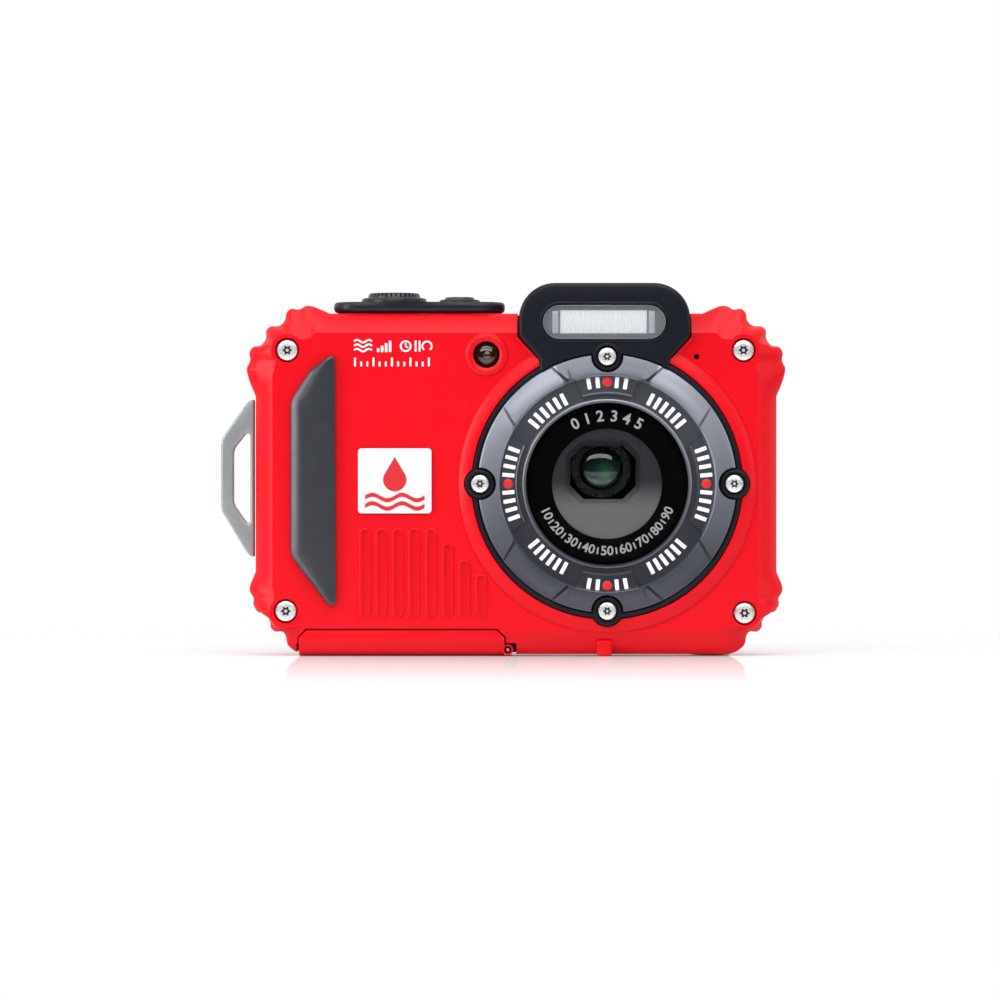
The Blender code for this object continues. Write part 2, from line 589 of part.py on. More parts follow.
def build_battery_door(look):
    base, inside, lip_inside = 0.1 * MM, 1.9 * MM, -8.2 * MM
    section = [
        (DOOR_BACK_Y, base), (DOOR_BACK_Y, inside), (lip_inside, inside), (lip_inside, DOOR_LIP_TOP),
        (DOOR_FRONT_Y, DOOR_LIP_TOP), (DOOR_FRONT_Y, 3.4 * MM), (-9.3 * MM, 1.2 * MM), (-7.0 * MM, base),
    ]
    door = plate("battery_door", [section], DOOR_LEFT, DOOR_RIGHT, look["red"], normal="X")
    barrel = rod("door_barrel", 1.1 * MM, (HINGE_X, -9.0 * MM, HINGE_Z), (HINGE_X, 4.2 * MM, HINGE_Z), sides=16)
    bore = rod("barrel_bore", 0.75 * MM, (HINGE_X, -FAR, HINGE_Z), (HINGE_X, FAR, HINGE_Z), sides=12)
    join(door, barrel)
    for side, x in ((1, DOOR_LEFT), (-1, DOOR_RIGHT)):
        corner = [(x - side * MM, 2.8 * MM), (x + side * 2.6 * MM, 6.2 * MM), (x - side * MM, 6.2 * MM)]
        cut(door, plate(f"lip_corner_{side}", [corner], -12 * MM, -7 * MM))
    cut(door, bore, box("latch_slot", (-36.4 * MM, -3.3 * MM, -0.01), (-28.6 * MM, 1.3 * MM, 0.01)))
    ends = (HINGE_X, -8.6 * MM, HINGE_Z), (HINGE_X, 4.2 * MM, HINGE_Z)
    rod("door_hinge_pin", 0.45 * MM, *ends, look["steel"], sides=12)
    knob = box("door_latch", (-36.1 * MM, -3.0 * MM, 0.2 * MM), (-31.1 * MM, 1.0 * MM, 2.6 * MM), look["black"])
    join(knob, box("latch_plate", (-37.0 * MM, -4.0 * MM, 2.2 * MM), (-30.2 * MM, 2.0 * MM, 3.0 * MM)))
    seal_outer = rounded(-39.6 * MM, -7.6 * MM, -1.8 * MM, 4.0 * MM, 2 * MM)
    seal_inner = rounded(-38.4 * MM, -6.4 * MM, -3.0 * MM, 2.8 * MM, 1 * MM)
    plate("door_seal", [seal_outer, seal_inner], 2.2 * MM, 3.2 * MM, look["seal"], normal="Z")


def build_tripod_socket(look):
    centre = (SOCKET_X, -1 * MM, 0)
    turned(
        "tripod_socket",
        [(0, 8.0 * MM), (4.2 * MM, 8.0 * MM), (4.2 * MM, 0.1 * MM), (2.7 * MM, 0.1 * MM), (2.7 * MM, 6.2 * MM),
         (0, 6.2 * MM)],
        centre, look["brass"], steps=24, axis="Z")


def build_rear_controls(look):
    box("lcd_window", (SCREEN_LEFT, 11.5 * MM, SCREEN_BOTTOM), (SCREEN_RIGHT, 13.0 * MM, SCREEN_TOP), look["glass"])
    panel_x, panel_z = 55.6 * MM / 2, 41.6 * MM / 2
    middle_x, middle_z = (SCREEN_LEFT + SCREEN_RIGHT) / 2, (SCREEN_BOTTOM + SCREEN_TOP) / 2
    box(
        "lcd_panel", (middle_x - panel_x, 9.6 * MM, middle_z - panel_z),
        (middle_x + panel_x, 11.1 * MM, middle_z + panel_z), look["cell"])
    for name, x, z, width, height in KEYS:
        if name in ("nav_pad", "ok_key"):
            key = rod(name, width / 2, (x, KEY_FOOT_Y, z), (x, KEY_TOP_Y, z), look["black"], sides=32)
        else:
            half, rise = width / 2, height / 2
            outline = rounded(x - half, z - rise, x + half, z + rise, rise - 0.05 * MM)
            key = plate(name, [outline], KEY_FOOT_Y, KEY_TOP_Y, look["black"])
        bevel_front(key, KEY_TOP_Y, 0.4 * MM)
        if name == "nav_pad":
            cut(key, rod("ok_room", 4.0 * MM, (x, 0, z), (x, FAR, z), sides=32))
        if name != "ok_key":
            flange = 0.8 * MM
            ring = rounded(
                x - width / 2 - flange, z - height / 2 - flange, x + width / 2 + flange, z + height / 2 + flange,
                height / 2 + flange - 0.05 * MM)
            half, rise = width / 4, height / 4
            hole = rounded(x - half, z - rise, x + half, z + rise, rise - 0.05 * MM)
            loops = [ring, hole] if name == "nav_pad" else [ring]
            join(key, plate(name + "_flange", loops, KEY_FOOT_Y, 10.55 * MM))
    outline = rounded(-45.6 * MM, 24 * MM, -38.4 * MM, 44 * MM, 3 * MM)
    rest = plate("thumb_rest", [outline], REAR_Y + GAP, HALF_DEPTH, look["rubber"])
    bevel_front(rest, HALF_DEPTH, 0.4 * MM)


def build_inside(look):
    board = clipped(3.2 * MM, 14.8 * MM, 14.0 * MM)
    plate("main_board", [board], BOARD_Y, BOARD_Y + 1.2 * MM, look["board"])
    box("battery", (-35.5 * MM, -6.9 * MM, 7.0 * MM), (-2.5 * MM, -0.6 * MM, 47.0 * MM), look["cell"])
    bay = box("battery_bay", (-36.5 * MM, -7.9 * MM, 6.6 * MM), (-1.5 * MM, 0.4 * MM, 49.0 * MM), look["frame"])
    cut(bay, box("bay_hollow", (-35.8 * MM, -7.2 * MM, 0), (-2.2 * MM, -0.3 * MM, 47.6 * MM)))
    slot = box("card_slot", (-27 * MM, 1.0 * MM, 6.6 * MM), (-12 * MM, 4.0 * MM, 24 * MM), look["steel"])
    cut(slot, box("card_hollow", (-25.6 * MM, 2.0 * MM, 0), (-14.0 * MM, 3.3 * MM, 22.4 * MM)))
    box("memory_card", (-25.3 * MM, 2.3 * MM, 7.0 * MM), (-14.3 * MM, 3.0 * MM, 22.0 * MM), look["cell"])
    port = box("usb_port", (-10.6 * MM, 1.0 * MM, 6.6 * MM), (-2.8 * MM, 4.0 * MM, 12.2 * MM), look["steel"])
    cut(port, box("port_hollow", (-10.2 * MM, 1.5 * MM, 0), (-3.2 * MM, 3.5 * MM, 11.6 * MM)))
    x, z = -41 * MM, 15 * MM
    rod("speaker", 3.5 * MM, (x, 9.5 * MM, z), (x, 10.6 * MM, z), look["frame"], sides=12)


def build_optics(look):
    """The folded lens: light enters in front, turns down in the prism and ends at the sensor."""
    axis_y = 0.1 * MM
    turned(
        "front_lens_element",
        [(0, 7.9 * MM), (2.2 * MM, 7.6 * MM), (4.2 * MM, 6.8 * MM), (5.6 * MM, 6.0 * MM), (6.0 * MM, 6.0 * MM),
         (6.0 * MM, 5.2 * MM), (0, 5.2 * MM)],
        (OPTIC_X, 0, OPTIC_Z), look["lens"], steps=28)
    side = 5.0 * MM
    prism = [(axis_y - side, OPTIC_Z - side), (axis_y + side, OPTIC_Z - side), (axis_y - side, OPTIC_Z + side)]
    plate("prism", [prism], OPTIC_X - side, OPTIC_X + side, look["glass"], normal="X")
    housing = box("lens_housing", (9.4 * MM, -4.9 * MM, 2.6 * MM), (37.4 * MM, 7.0 * MM, 44.4 * MM), look["frame"])
    cut(housing, box("housing_hollow", (10.6 * MM, -FAR, 4.0 * MM), (36.2 * MM, 5.8 * MM, 43.2 * MM)))
    box("image_sensor", (13.8 * MM, -4.9 * MM, 4.4 * MM), (25.8 * MM, 5.1 * MM, 5.6 * MM), look["board"])
    rods = [("guide_rod_left", 12.3 * MM), ("guide_rod_right", 27.3 * MM)]
    rod_y, screw_x = 2.6 * MM, 32.5 * MM
    groups = [("zoom_group", 24.0 * MM, 29.0 * MM), ("focus_group", 12.0 * MM, 15.5 * MM)]
    for name, low, high in groups:
        group = box(name, (10.9 * MM, -4.4 * MM, low), (28.7 * MM, 5.0 * MM, high), look["black"])
        if name == "zoom_group":
            join(group, box("zoom_arm", (28 * MM, -1.4 * MM, low + MM), (34.8 * MM, 3.4 * MM, high - MM)))
            cut(group, rod("zoom_nut", 1.2 * MM, (screw_x, MM, 0), (screw_x, MM, 0.05), sides=12))
        for rod_name, x in rods:
            cut(group, rod(f"{name}_{rod_name}_hole", MM, (x, rod_y, 0), (x, rod_y, 0.05), sides=12))
        cut(group, rod(name + "_bore", 3.4 * MM, (OPTIC_X, axis_y, 0), (OPTIC_X, axis_y, 0.05), sides=12))
    for rod_name, x in rods:
        rod(rod_name, 0.6 * MM, (x, rod_y, 4.3 * MM), (x, rod_y, 42.9 * MM), look["steel"], sides=12)
    rod("zoom_motor", 3.2 * MM, (screw_x, MM, 4.3 * MM), (screw_x, MM, 15.3 * MM), look["cell"], sides=12)
    rod("lead_screw", 0.8 * MM, (screw_x, MM, 15.6 * MM), (screw_x, MM, 42.9 * MM), look["steel"], sides=12)


def main():
    clear_scene()
    scene = bpy.context.scene.collection
    scene.children.link(part)
    scene.children.link(helpers)
    look = looks()
    build_front_shell(look)
    build_rear_shell(look)
    build_seal(look)
    build_lens_port(look)
    build_corner_screws(look)
    build_flash(look)
    build_top_controls(look)
    build_front_trim(look)
    build_strap_bracket(look)
    build_battery_door(look)
    build_tripod_socket(look)
    build_rear_controls(look)
    build_inside(look)
    build_optics(look)


main()
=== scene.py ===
# Looks of a rugged waterproof compact camera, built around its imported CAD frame.
# All lengths in the settings are millimetres, as on a maker's drawing; mm() turns them into metres.
import math

import bpy
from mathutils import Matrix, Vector


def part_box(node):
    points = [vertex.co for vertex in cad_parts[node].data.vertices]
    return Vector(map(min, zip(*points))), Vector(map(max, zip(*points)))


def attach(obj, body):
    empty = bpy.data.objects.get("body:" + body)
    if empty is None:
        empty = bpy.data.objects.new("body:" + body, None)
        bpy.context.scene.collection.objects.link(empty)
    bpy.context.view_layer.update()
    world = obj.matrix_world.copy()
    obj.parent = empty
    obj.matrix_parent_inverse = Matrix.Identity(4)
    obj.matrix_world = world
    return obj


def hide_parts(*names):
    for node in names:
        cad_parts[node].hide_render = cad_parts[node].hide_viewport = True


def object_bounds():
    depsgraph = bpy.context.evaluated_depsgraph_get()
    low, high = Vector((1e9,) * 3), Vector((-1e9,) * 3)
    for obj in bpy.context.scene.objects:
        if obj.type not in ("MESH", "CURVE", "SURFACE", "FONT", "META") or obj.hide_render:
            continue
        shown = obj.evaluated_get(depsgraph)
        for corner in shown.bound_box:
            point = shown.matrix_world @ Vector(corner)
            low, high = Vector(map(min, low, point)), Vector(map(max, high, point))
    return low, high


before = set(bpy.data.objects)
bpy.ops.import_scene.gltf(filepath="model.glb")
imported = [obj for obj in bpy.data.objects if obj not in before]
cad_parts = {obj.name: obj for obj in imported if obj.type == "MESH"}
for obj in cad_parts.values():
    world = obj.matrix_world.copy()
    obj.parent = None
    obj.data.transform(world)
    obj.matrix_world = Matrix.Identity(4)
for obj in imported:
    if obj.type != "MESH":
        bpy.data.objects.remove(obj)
cadBox = [list(corner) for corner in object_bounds()]
mainBody = "camera_body"


def mm(*values):
    scaled = tuple(v * 0.001 for v in values)
    return scaled if len(scaled) > 1 else scaled[0]


def boxMm(node):
    low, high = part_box(node)
    return [v * 1000 for v in low], [v * 1000 for v in high]


def onlySelect(*objs):
    if bpy.context.mode != "OBJECT":
        bpy.ops.object.mode_set(mode="OBJECT")
    bpy.ops.object.select_all(action="DESELECT")
    for obj in objs:
        obj.select_set(True)
    if objs:
        bpy.context.view_layer.objects.active = objs[0]


def named(name):
    obj = bpy.context.active_object
    obj.name = obj.data.name = name
    return obj


def addBlock(name, low, high):
    onlySelect()
    middle = [(a + b) / 2 for a, b in zip(low, high)]
    bpy.ops.mesh.primitive_cube_add(size=1, location=mm(*middle), scale=mm(*[b - a for a, b in zip(low, high)]))
    obj = named(name)
    bpy.ops.object.transform_apply(location=True, rotation=True, scale=True)
    return obj


def addRod(name, radius, start, end, sides=48, endRadius=None):
    onlySelect()
    a, b = Vector(mm(*start)), Vector(mm(*end))
    turn = (b - a).to_track_quat("Z", "Y").to_euler()
    bpy.ops.mesh.primitive_cone_add(
        vertices=sides, radius1=mm(radius), radius2=mm(radius if endRadius is None else endRadius),
        depth=(b - a).length, location=(a + b) / 2, rotation=turn)
    obj = named(name)
    bpy.ops.object.transform_apply(location=True, rotation=True, scale=True)
    return obj


def addOutline(name, points, height, normal="Y"):
    # A filled circle primitive whose corners are moved onto the outline.
    onlySelect()
    bpy.ops.mesh.primitive_circle_add(vertices=len(points), radius=0.01, fill_type="NGON")
    obj = named(name)
    for vertex, (a, b) in zip(obj.data.vertices, points):
        vertex.co = {"Y": mm(a, height, b), "Z": mm(a, b, height), "X": mm(height, a, b)}[normal]
    return obj


def extrude(obj, move):
    onlySelect(obj)
    bpy.ops.object.mode_set(mode="EDIT")
    bpy.ops.mesh.select_all(action="SELECT")
    bpy.ops.mesh.extrude_region_move(TRANSFORM_OT_translate={"value": mm(*move)})
    bpy.ops.mesh.select_all(action="SELECT")
    bpy.ops.mesh.normals_make_consistent(inside=False)
    bpy.ops.object.mode_set(mode="OBJECT")
    return obj


def addPlate(name, points, start, end, normal="Y"):
    obj = addOutline(name, points, start, normal)
    step = end - start
    return extrude(obj, {"Y": (0, step, 0), "Z": (0, 0, step), "X": (step, 0, 0)}[normal])


def addLoft(name, rows):
    # A face on the first row of points, extruded from row to row. Every row has as many points.
    onlySelect()
    bpy.ops.mesh.primitive_circle_add(vertices=len(rows[0]), radius=0.01, fill_type="NGON")
    obj = named(name)
    for vertex, point in zip(obj.data.vertices, rows[0]):
        vertex.co = mm(*point)
    for row in rows[1:]:
        bpy.ops.object.mode_set(mode="EDIT")
        bpy.ops.mesh.select_mode(type="VERT")
        bpy.ops.mesh.extrude_region_move(TRANSFORM_OT_translate={"value": (0, 0, 0)})
        bpy.ops.object.mode_set(mode="OBJECT")
        fresh = [vertex for vertex in obj.data.vertices if vertex.select]
        for vertex, point in zip(fresh, row):
            vertex.co = mm(*point)
    return facingOut(obj)


def facingOut(obj):
    onlySelect(obj)
    bpy.ops.object.mode_set(mode="EDIT")
    bpy.ops.mesh.select_all(action="SELECT")
    bpy.ops.mesh.normals_make_consistent(inside=False)
    bpy.ops.object.mode_set(mode="OBJECT")
    return obj


def addTurned(name, profile, centre, steps=96, axis="Y", closed=False):
    # The profile is (radius, height): height runs towards -Y, or up when the axis is Z.
    onlySelect()
    bpy.ops.mesh.primitive_circle_add(vertices=len(profile), radius=0.01, fill_type="NOTHING")
    obj = named(name)
    cx, cy, cz = centre
    for vertex, (radius, height) in zip(obj.data.vertices, profile):
        vertex.co = mm(cx + radius, cy - height, cz) if axis == "Y" else mm(cx + radius, cy, cz + height)
    bpy.ops.object.mode_set(mode="EDIT")
    if not closed:
        selectEdges(obj, lambda a, b: {a, b} == {0, len(profile) - 1})
        bpy.ops.mesh.delete(type="EDGE_FACE")
    bpy.ops.mesh.select_all(action="SELECT")
    bpy.ops.mesh.spin(
        steps=steps, angle=math.tau, center=mm(*centre), axis=(0, 1, 0) if axis == "Y" else (0, 0, 1),
        use_auto_merge=True)
    bpy.ops.mesh.select_all(action="SELECT")
    bpy.ops.mesh.remove_doubles(threshold=1e-6)
    bpy.ops.mesh.dissolve_degenerate(threshold=1e-6)
    bpy.ops.mesh.select_all(action="SELECT")
    bpy.ops.mesh.normals_make_consistent(inside=False)
    bpy.ops.object.mode_set(mode="OBJECT")
    return obj


def selectEdges(obj, choose):
    bpy.ops.object.mode_set(mode="OBJECT")
    for item in (*obj.data.vertices, *obj.data.edges, *obj.data.polygons):
        item.select = False
    for edge in obj.data.edges:
        edge.select = choose(*edge.vertices)
    bpy.ops.object.mode_set(mode="EDIT")
    bpy.ops.mesh.select_mode(type="EDGE")


def applyModifier(obj, kind, **settings):
    onlySelect(obj)
    modifier = obj.modifiers.new(kind.title(), kind)
    for key, value in settings.items():
        setattr(modifier, key, value)
    bpy.ops.object.modifier_apply(modifier=modifier.name)
    return obj


def combine(obj, operation, others):
    for other in others:
        applyModifier(obj, "BOOLEAN", operation=operation, solver="EXACT", object=other)
        bpy.data.objects.remove(other, do_unlink=True)
    return obj


def cut(obj, *others):
    return combine(obj, "DIFFERENCE", others)


def weld(obj, *others):
    return combine(obj, "UNION", others)


def healed(obj):
    # Closes the hair-thin slits that welding nearly matching faces can leave.
    onlySelect(obj)
    bpy.ops.object.mode_set(mode="EDIT")
    bpy.ops.mesh.select_mode(type="VERT")
    bpy.ops.mesh.select_all(action="SELECT")
    bpy.ops.mesh.remove_doubles(threshold=mm(0.004))
    bpy.ops.mesh.dissolve_degenerate(threshold=mm(0.002))
    bpy.ops.mesh.select_all(action="DESELECT")
    bpy.ops.mesh.select_non_manifold()
    bpy.ops.mesh.fill_holes(sides=8)
    bpy.ops.object.mode_set(mode="OBJECT")
    return obj


def roundEdges(obj, width, segments=2, angle=32):
    applyModifier(
        obj, "BEVEL", width=mm(width), segments=segments, limit_method="ANGLE", angle_limit=math.radians(angle),
        use_clamp_overlap=True, harden_normals=False)
    return obj


def smooth(obj, angle=32):
    onlySelect(obj)
    bpy.ops.object.shade_smooth_by_angle(angle=math.radians(angle))
    return obj


def joined(name, pieces):
    onlySelect(*pieces)
    bpy.ops.object.join()
    return named(name)


def copied(obj, turn=0.0, centre=(0, 0), move=(0, 0, 0)):
    # A copy with its own mesh, turned about a centre (x, z) as seen from the front, then moved.
    onlySelect(obj)
    bpy.ops.object.duplicate()
    twin = bpy.context.active_object
    cos, sin = math.cos(math.radians(turn)), math.sin(math.radians(turn))
    for vertex in twin.data.vertices:
        x, z = vertex.co.x - mm(centre[0]), vertex.co.z - mm(centre[1])
        vertex.co = (x * cos - z * sin + mm(centre[0] + move[0]), vertex.co.y + mm(move[1]),
                     x * sin + z * cos + mm(centre[1] + move[2]))
    return twin


def finished(obj, body, slot, look, *replaced, angle=32):
    smooth(obj, angle)
    obj.data.materials.clear()
    obj.data.materials.append(look)
    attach(obj, body)
    if replaced:
        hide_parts(*replaced)
    return obj


def arc(x, z, radius, start, end, count):
    turns = [math.radians(start + (end - start) * i / count) for i in range(count + 1)]
    return [(x + radius * math.cos(t), z + radius * math.sin(t)) for t in turns]


def rounded(left, bottom, right, top, radius, count=8):
    inX, inZ = (left + radius, right - radius), (bottom + radius, top - radius)
    return (arc(inX[1], inZ[1], radius, 0, 90, count) + arc(inX[0], inZ[1], radius, 90, 180, count)
            + arc(inX[0], inZ[0], radius, 180, 270, count) + arc(inX[1], inZ[0], radius, 270, 360, count))


def lengthOf(points):
    return sum(math.dist(a, b) for a, b in zip(points, points[1:]))


def resampled(points, count):
    # Evenly spaced points along a line, its two ends included.
    total, out, run, i = lengthOf(points), [points[0]], 0.0, 0
    for k in range(1, count - 1):
        target = total * k / (count - 1)
        while run + math.dist(points[i], points[i + 1]) < target:
            run += math.dist(points[i], points[i + 1])
            i += 1
        share = (target - run) / math.dist(points[i], points[i + 1])
        out.append(tuple(a + (b - a) * share for a, b in zip(points[i], points[i + 1])))
    return out + [points[-1]]


def shrunk(points, inset):
    # The closed outline, each point moved inwards along the outline's own normal.
    out = []
    turn = sum(a[0] * b[1] - a[1] * b[0] for a, b in zip(points, points[1:] + points[:1]))
    side = math.copysign(inset, turn)
    for before, point, after in zip(points[-1:] + points[:-1], points, points[1:] + points[:1]):
        dx, dz = after[0] - before[0], after[1] - before[1]
        size = math.hypot(dx, dz) or 1.0
        out.append((point[0] - dz / size * side, point[1] + dx / size * side))
    return out


def flowing(points, perSpan=5):
    # A smooth line through the points.
    ends = [points[0], *points, points[-1]]
    out = []
    for p0, p1, p2, p3 in zip(ends, ends[1:], ends[2:], ends[3:]):
        for k in range(perSpan):
            t = k / perSpan
            out.append(tuple(
                0.5 * (2 * b + (c - a) * t + (2 * a - 5 * b + 4 * c - d) * t * t + (3 * b - a - 3 * c + d) * t ** 3)
                for a, b, c, d in zip(p0, p1, p2, p3)))
    return out + [points[-1]]

class Wire:
    # One output socket. Sums and products of wires add their Math nodes.
    def __init__(self, look, socket):
        self.look = look
        self.socket = socket

    def calc(self, operation, *values):
        return self.look.calc(operation, *values)

    def __add__(self, other):
        return self.calc("ADD", self, other)

    def __radd__(self, other):
        return self.calc("ADD", other, self)

    def __sub__(self, other):
        return self.calc("SUBTRACT", self, other)

    def __rsub__(self, other):
        return self.calc("SUBTRACT", other, self)

    def __mul__(self, other):
        return self.calc("MULTIPLY", self, other)

    def __rmul__(self, other):
        return self.calc("MULTIPLY", other, self)

    def __truediv__(self, other):
        return self.calc("DIVIDE", self, other)

    def __pow__(self, other):
        return self.calc("POWER", self, other)

    def __gt__(self, other):
        return self.calc("GREATER_THAN", self, other)

    def __lt__(self, other):
        return self.calc("LESS_THAN", self, other)


class Nodes:
    def __init__(self, tree):
        self.tree = tree

    def node(self, kind, settings=None, inputs=None, out=0):
        made = self.tree.nodes.new(kind)
        for key, value in (settings or {}).items():
            if key == "stops":
                while len(made.color_ramp.elements) < len(value):
                    made.color_ramp.elements.new(1.0)
                for element, (position, colour) in zip(made.color_ramp.elements, value):
                    element.position = position
                    element.color = (*colour, 1.0)
            else:
                setattr(made, key, value)
        for key, value in (inputs or {}).items():
            self.feed(made.inputs[key], value)
        return Wire(self, made.outputs[out])

    def calc(self, operation, *values):
        return self.node("ShaderNodeMath", {"operation": operation}, dict(enumerate(values)))

    def feed(self, socket, value):
        if isinstance(value, Wire):
            self.tree.links.new(value.socket, socket)
        elif isinstance(value, tuple) and len(value) == 3 and socket.type == "RGBA":
            socket.default_value = (*value, 1.0)
        else:
            socket.default_value = value


class Look(Nodes):
    # A material: a Principled shader and the nodes that feed it.
    def __init__(self, name, **constants):
        self.material = bpy.data.materials.new(name)
        self.material.use_nodes = True
        super().__init__(self.material.node_tree)
        self.shader = self.tree.nodes["Principled BSDF"]
        self.place = self.node("ShaderNodeTexCoord", out="Object")
        self.set(**constants)

    def set(self, **values):
        for key, value in values.items():
            self.feed(self.shader.inputs[key.replace("_", " ")], value)
        return self

    def noise(self, size, detail=2.0, stretch=(1, 1, 1), rough=0.5):
        where = self.node("ShaderNodeMapping", {}, {"Vector": self.place, "Scale": stretch})
        return self.node("ShaderNodeTexNoise", {}, {
            "Vector": where, "Scale": 1000 / size, "Detail": detail, "Roughness": rough})

    def blend(self, share, first, second):
        return self.node("ShaderNodeMix", {"data_type": "RGBA"}, {0: share, 6: first, 7: second}, out=2)

    def bump(self, height, distance, strength=1.0, below=None):
        inputs = {"Height": height, "Distance": mm(distance), "Strength": strength}
        if below:
            inputs["Normal"] = below
        return self.node("ShaderNodeBump", {}, inputs)

    def offset(self, x, z):
        # How far across and above an axis along Y, in millimetres.
        parts = self.node("ShaderNodeSeparateXYZ", {}, {0: self.place}).socket.node
        return Wire(self, parts.outputs[0]) * 1000 - x, Wire(self, parts.outputs[2]) * 1000 - z

    def radius(self, x, z):
        across, up = self.offset(x, z)
        return (across * across + up * up) ** 0.5


def tint(colour, amount):
    return tuple(min(1.0, c * amount) for c in colour)


def moulded(name, colour, rough, grain=0.25, depth=0.01, shift=0.12, **constants):
    # Moulded plastic or rubber: a fine tool texture, faint handling marks and a slight drift of colour.
    look = Look(name, **constants)
    drift = look.noise(14.0, 3.0)
    marks = look.noise(2.2, 4.0, rough=0.65)
    grainHeight = look.noise(grain, 3.0, rough=0.6)
    look.set(Base_Color=look.blend(drift, tint(colour, 1 - shift), tint(colour, 1 + shift)))
    look.set(Roughness=rough + (marks - 0.5) * 0.16 + (drift - 0.5) * 0.06)
    soft = look.bump(look.noise(5.0, 1.0), depth * 2, 0.25)
    look.set(Normal=look.bump(grainHeight, depth, 0.6, soft))
    return look.material


def metal(name, colour, rough, lines=(1, 1, 1), depth=0.0015, share=1.0, **constants):
    # Turned, brushed or blasted metal, by how far its marks are drawn out.
    look = Look(name, Metallic=share, **constants)
    marks = look.noise(0.45, 2.0, lines, 0.5)
    stain = look.noise(3.0, 3.0)
    look.set(Base_Color=look.blend(stain, tint(colour, 0.86), tint(colour, 1.1)))
    look.set(Roughness=rough + (marks - 0.5) * 0.14 + (stain - 0.5) * 0.1)
    look.set(Normal=look.bump(marks, depth, 0.5))
    return look.material


def ringLook(settings):
    # Satin grey ring with a fine fleck, darker in its recess. Painted light: paler towards the top as a painted
    # highlight, darker towards the bottom and on the narrow top and bottom segments as painted shade.
    look = Look("satinRing", Metallic=0.45, Coat_Weight=0.2, Coat_Roughness=0.25)
    across, up = look.offset(settings["x"], settings["z"])
    r = (across * across + up * up) ** 0.5
    recess = (r > 17.0) * (r < 21.6)
    # Painted light: rise blends from the shaded grey low on the ring to the lit grey high on it, a painted
    # highlight above and painted shade below; on the narrow top and bottom segments it is cut back, as painted
    # shade.
    narrow = (look.calc("ABSOLUTE", across) < r * 0.4) * (r > 21.6)
    rise = look.node("ShaderNodeMapRange", {"interpolation_type": "SMOOTHSTEP"}, {0: up, 1: -20.0, 2: 17.0})
    fleck = look.noise(0.12, 2.0)
    drift = look.noise(9.0, 2.0)
    face = look.blend(rise * (1 - narrow * 0.62) + (fleck - 0.5) * 0.25, settings["shadedGrey"], settings["light"])
    look.set(Base_Color=look.blend(recess * 0.85, face, settings["recess"]))
    look.set(Roughness=0.33 + (drift - 0.5) * 0.12 + (fleck - 0.5) * 0.1)
    look.set(Normal=look.bump(fleck, 0.006, 0.5))
    return look.material


def clearLook(name, tintColour, share, rough=0.02):
    # Clear moulding or glass: mostly see-through, with a smooth surface that mirrors at a slant.
    look = Look(name, Base_Color=tintColour, Metallic=0.0)
    smears = look.noise(9.0, 2.0, (1, 1, 2), 0.5)
    look.set(Roughness=rough + smears * 0.02)
    look.set(Normal=look.bump(look.noise(12.0, 0.0), 0.001, 0.1))
    through = look.node("ShaderNodeBsdfTransparent", {}, {"Color": (0.97, 0.98, 0.98, 1)})
    edge = look.node("ShaderNodeFresnel", {}, {"IOR": 1.45})
    mix = look.node("ShaderNodeMixShader", {}, {0: share + edge * 0.9, 1: through,
        2: Wire(look, look.shader.outputs[0])})
    output = look.tree.nodes["Material Output"]
    look.tree.links.new(mix.socket, output.inputs["Surface"])
    return look.material


def coatedGlass(name, x, z):
    # Deep coated lens surface: near-black glass with a painted reflection, a green glint of the coating low on the
    # dome.
    look = Look(name, Coat_Weight=1.0, Coat_Roughness=0.03, Roughness=0.06)
    r = look.radius(x, z)
    cloud = look.noise(3.5, 2.0)
    # Painted reflection: a green glint centred low and to the right of the dome's middle, fading to black glass.
    glintDistance = look.radius(x + 0.9, z - 1.2)
    paintedGreenGlint = look.node("ShaderNodeValToRGB", {"stops": [
        (0.0, (0.08, 0.30, 0.09)), (0.35, (0.02, 0.11, 0.06)), (0.7, (0.006, 0.03, 0.03)),
        (1.0, (0.002, 0.004, 0.006))]},
        {0: glintDistance / 4.2 + (cloud - 0.5) * 0.35})
    look.set(Base_Color=look.blend(r / 6.5, paintedGreenGlint, (0.003, 0.004, 0.006)))
    look.set(Normal=look.bump(cloud, 0.003, 0.15))
    return look.material


def boardLook(name, colour):
    # Solder resist over copper tracks.
    look = Look(name, Roughness=0.4)
    tracks = look.node("ShaderNodeTexBrick", {"offset": 0.3}, {
        "Vector": look.node("ShaderNodeMapping", {}, {"Vector": look.place, "Rotation": (math.pi / 2, 0, 0)}),
        "Scale": 260.0, "Mortar Size": 0.012, "Color1": colour, "Color2": tint(colour, 1.6),
            "Mortar": (0.35, 0.25, 0.1)})
    look.set(Base_Color=look.blend(look.noise(1.0, 3.0) * 0.4, tracks, tint(colour, 0.6)))
    look.set(Normal=look.bump(tracks, 0.02, 0.3))
    return look.material


def baffleLook(name, low, high):
    # Matt mouldings inside the port, paler on the shelf under the lens where more light falls.
    look = Look(name, Specular_IOR_Level=0.3)
    level = Wire(look, look.node("ShaderNodeSeparateXYZ", {}, {0: look.place}).socket.node.outputs[2]) * 1000
    share = look.node("ShaderNodeMapRange", {"interpolation_type": "SMOOTHSTEP"},
        {0: level, 1: 29.5, 2: 36.0, 3: 0.0, 4: 1.0})
    grain = look.noise(0.22, 3.0, rough=0.7)
    tone = look.blend(share, low, high)
    face = look.blend(grain * 0.55, tone, tint(low, 0.35))
    # Painted light: the paler shelf and a faint glow of the mouldings in their own colour stand in for light
    # reaching into the port.
    look.set(Base_Color=face, Emission_Color=face, Emission_Strength=0.2)
    look.set(Roughness=0.60 + (grain - 0.5) * 0.15)
    look.set(Normal=look.bump(grain, 0.02, 0.6))
    return look.material


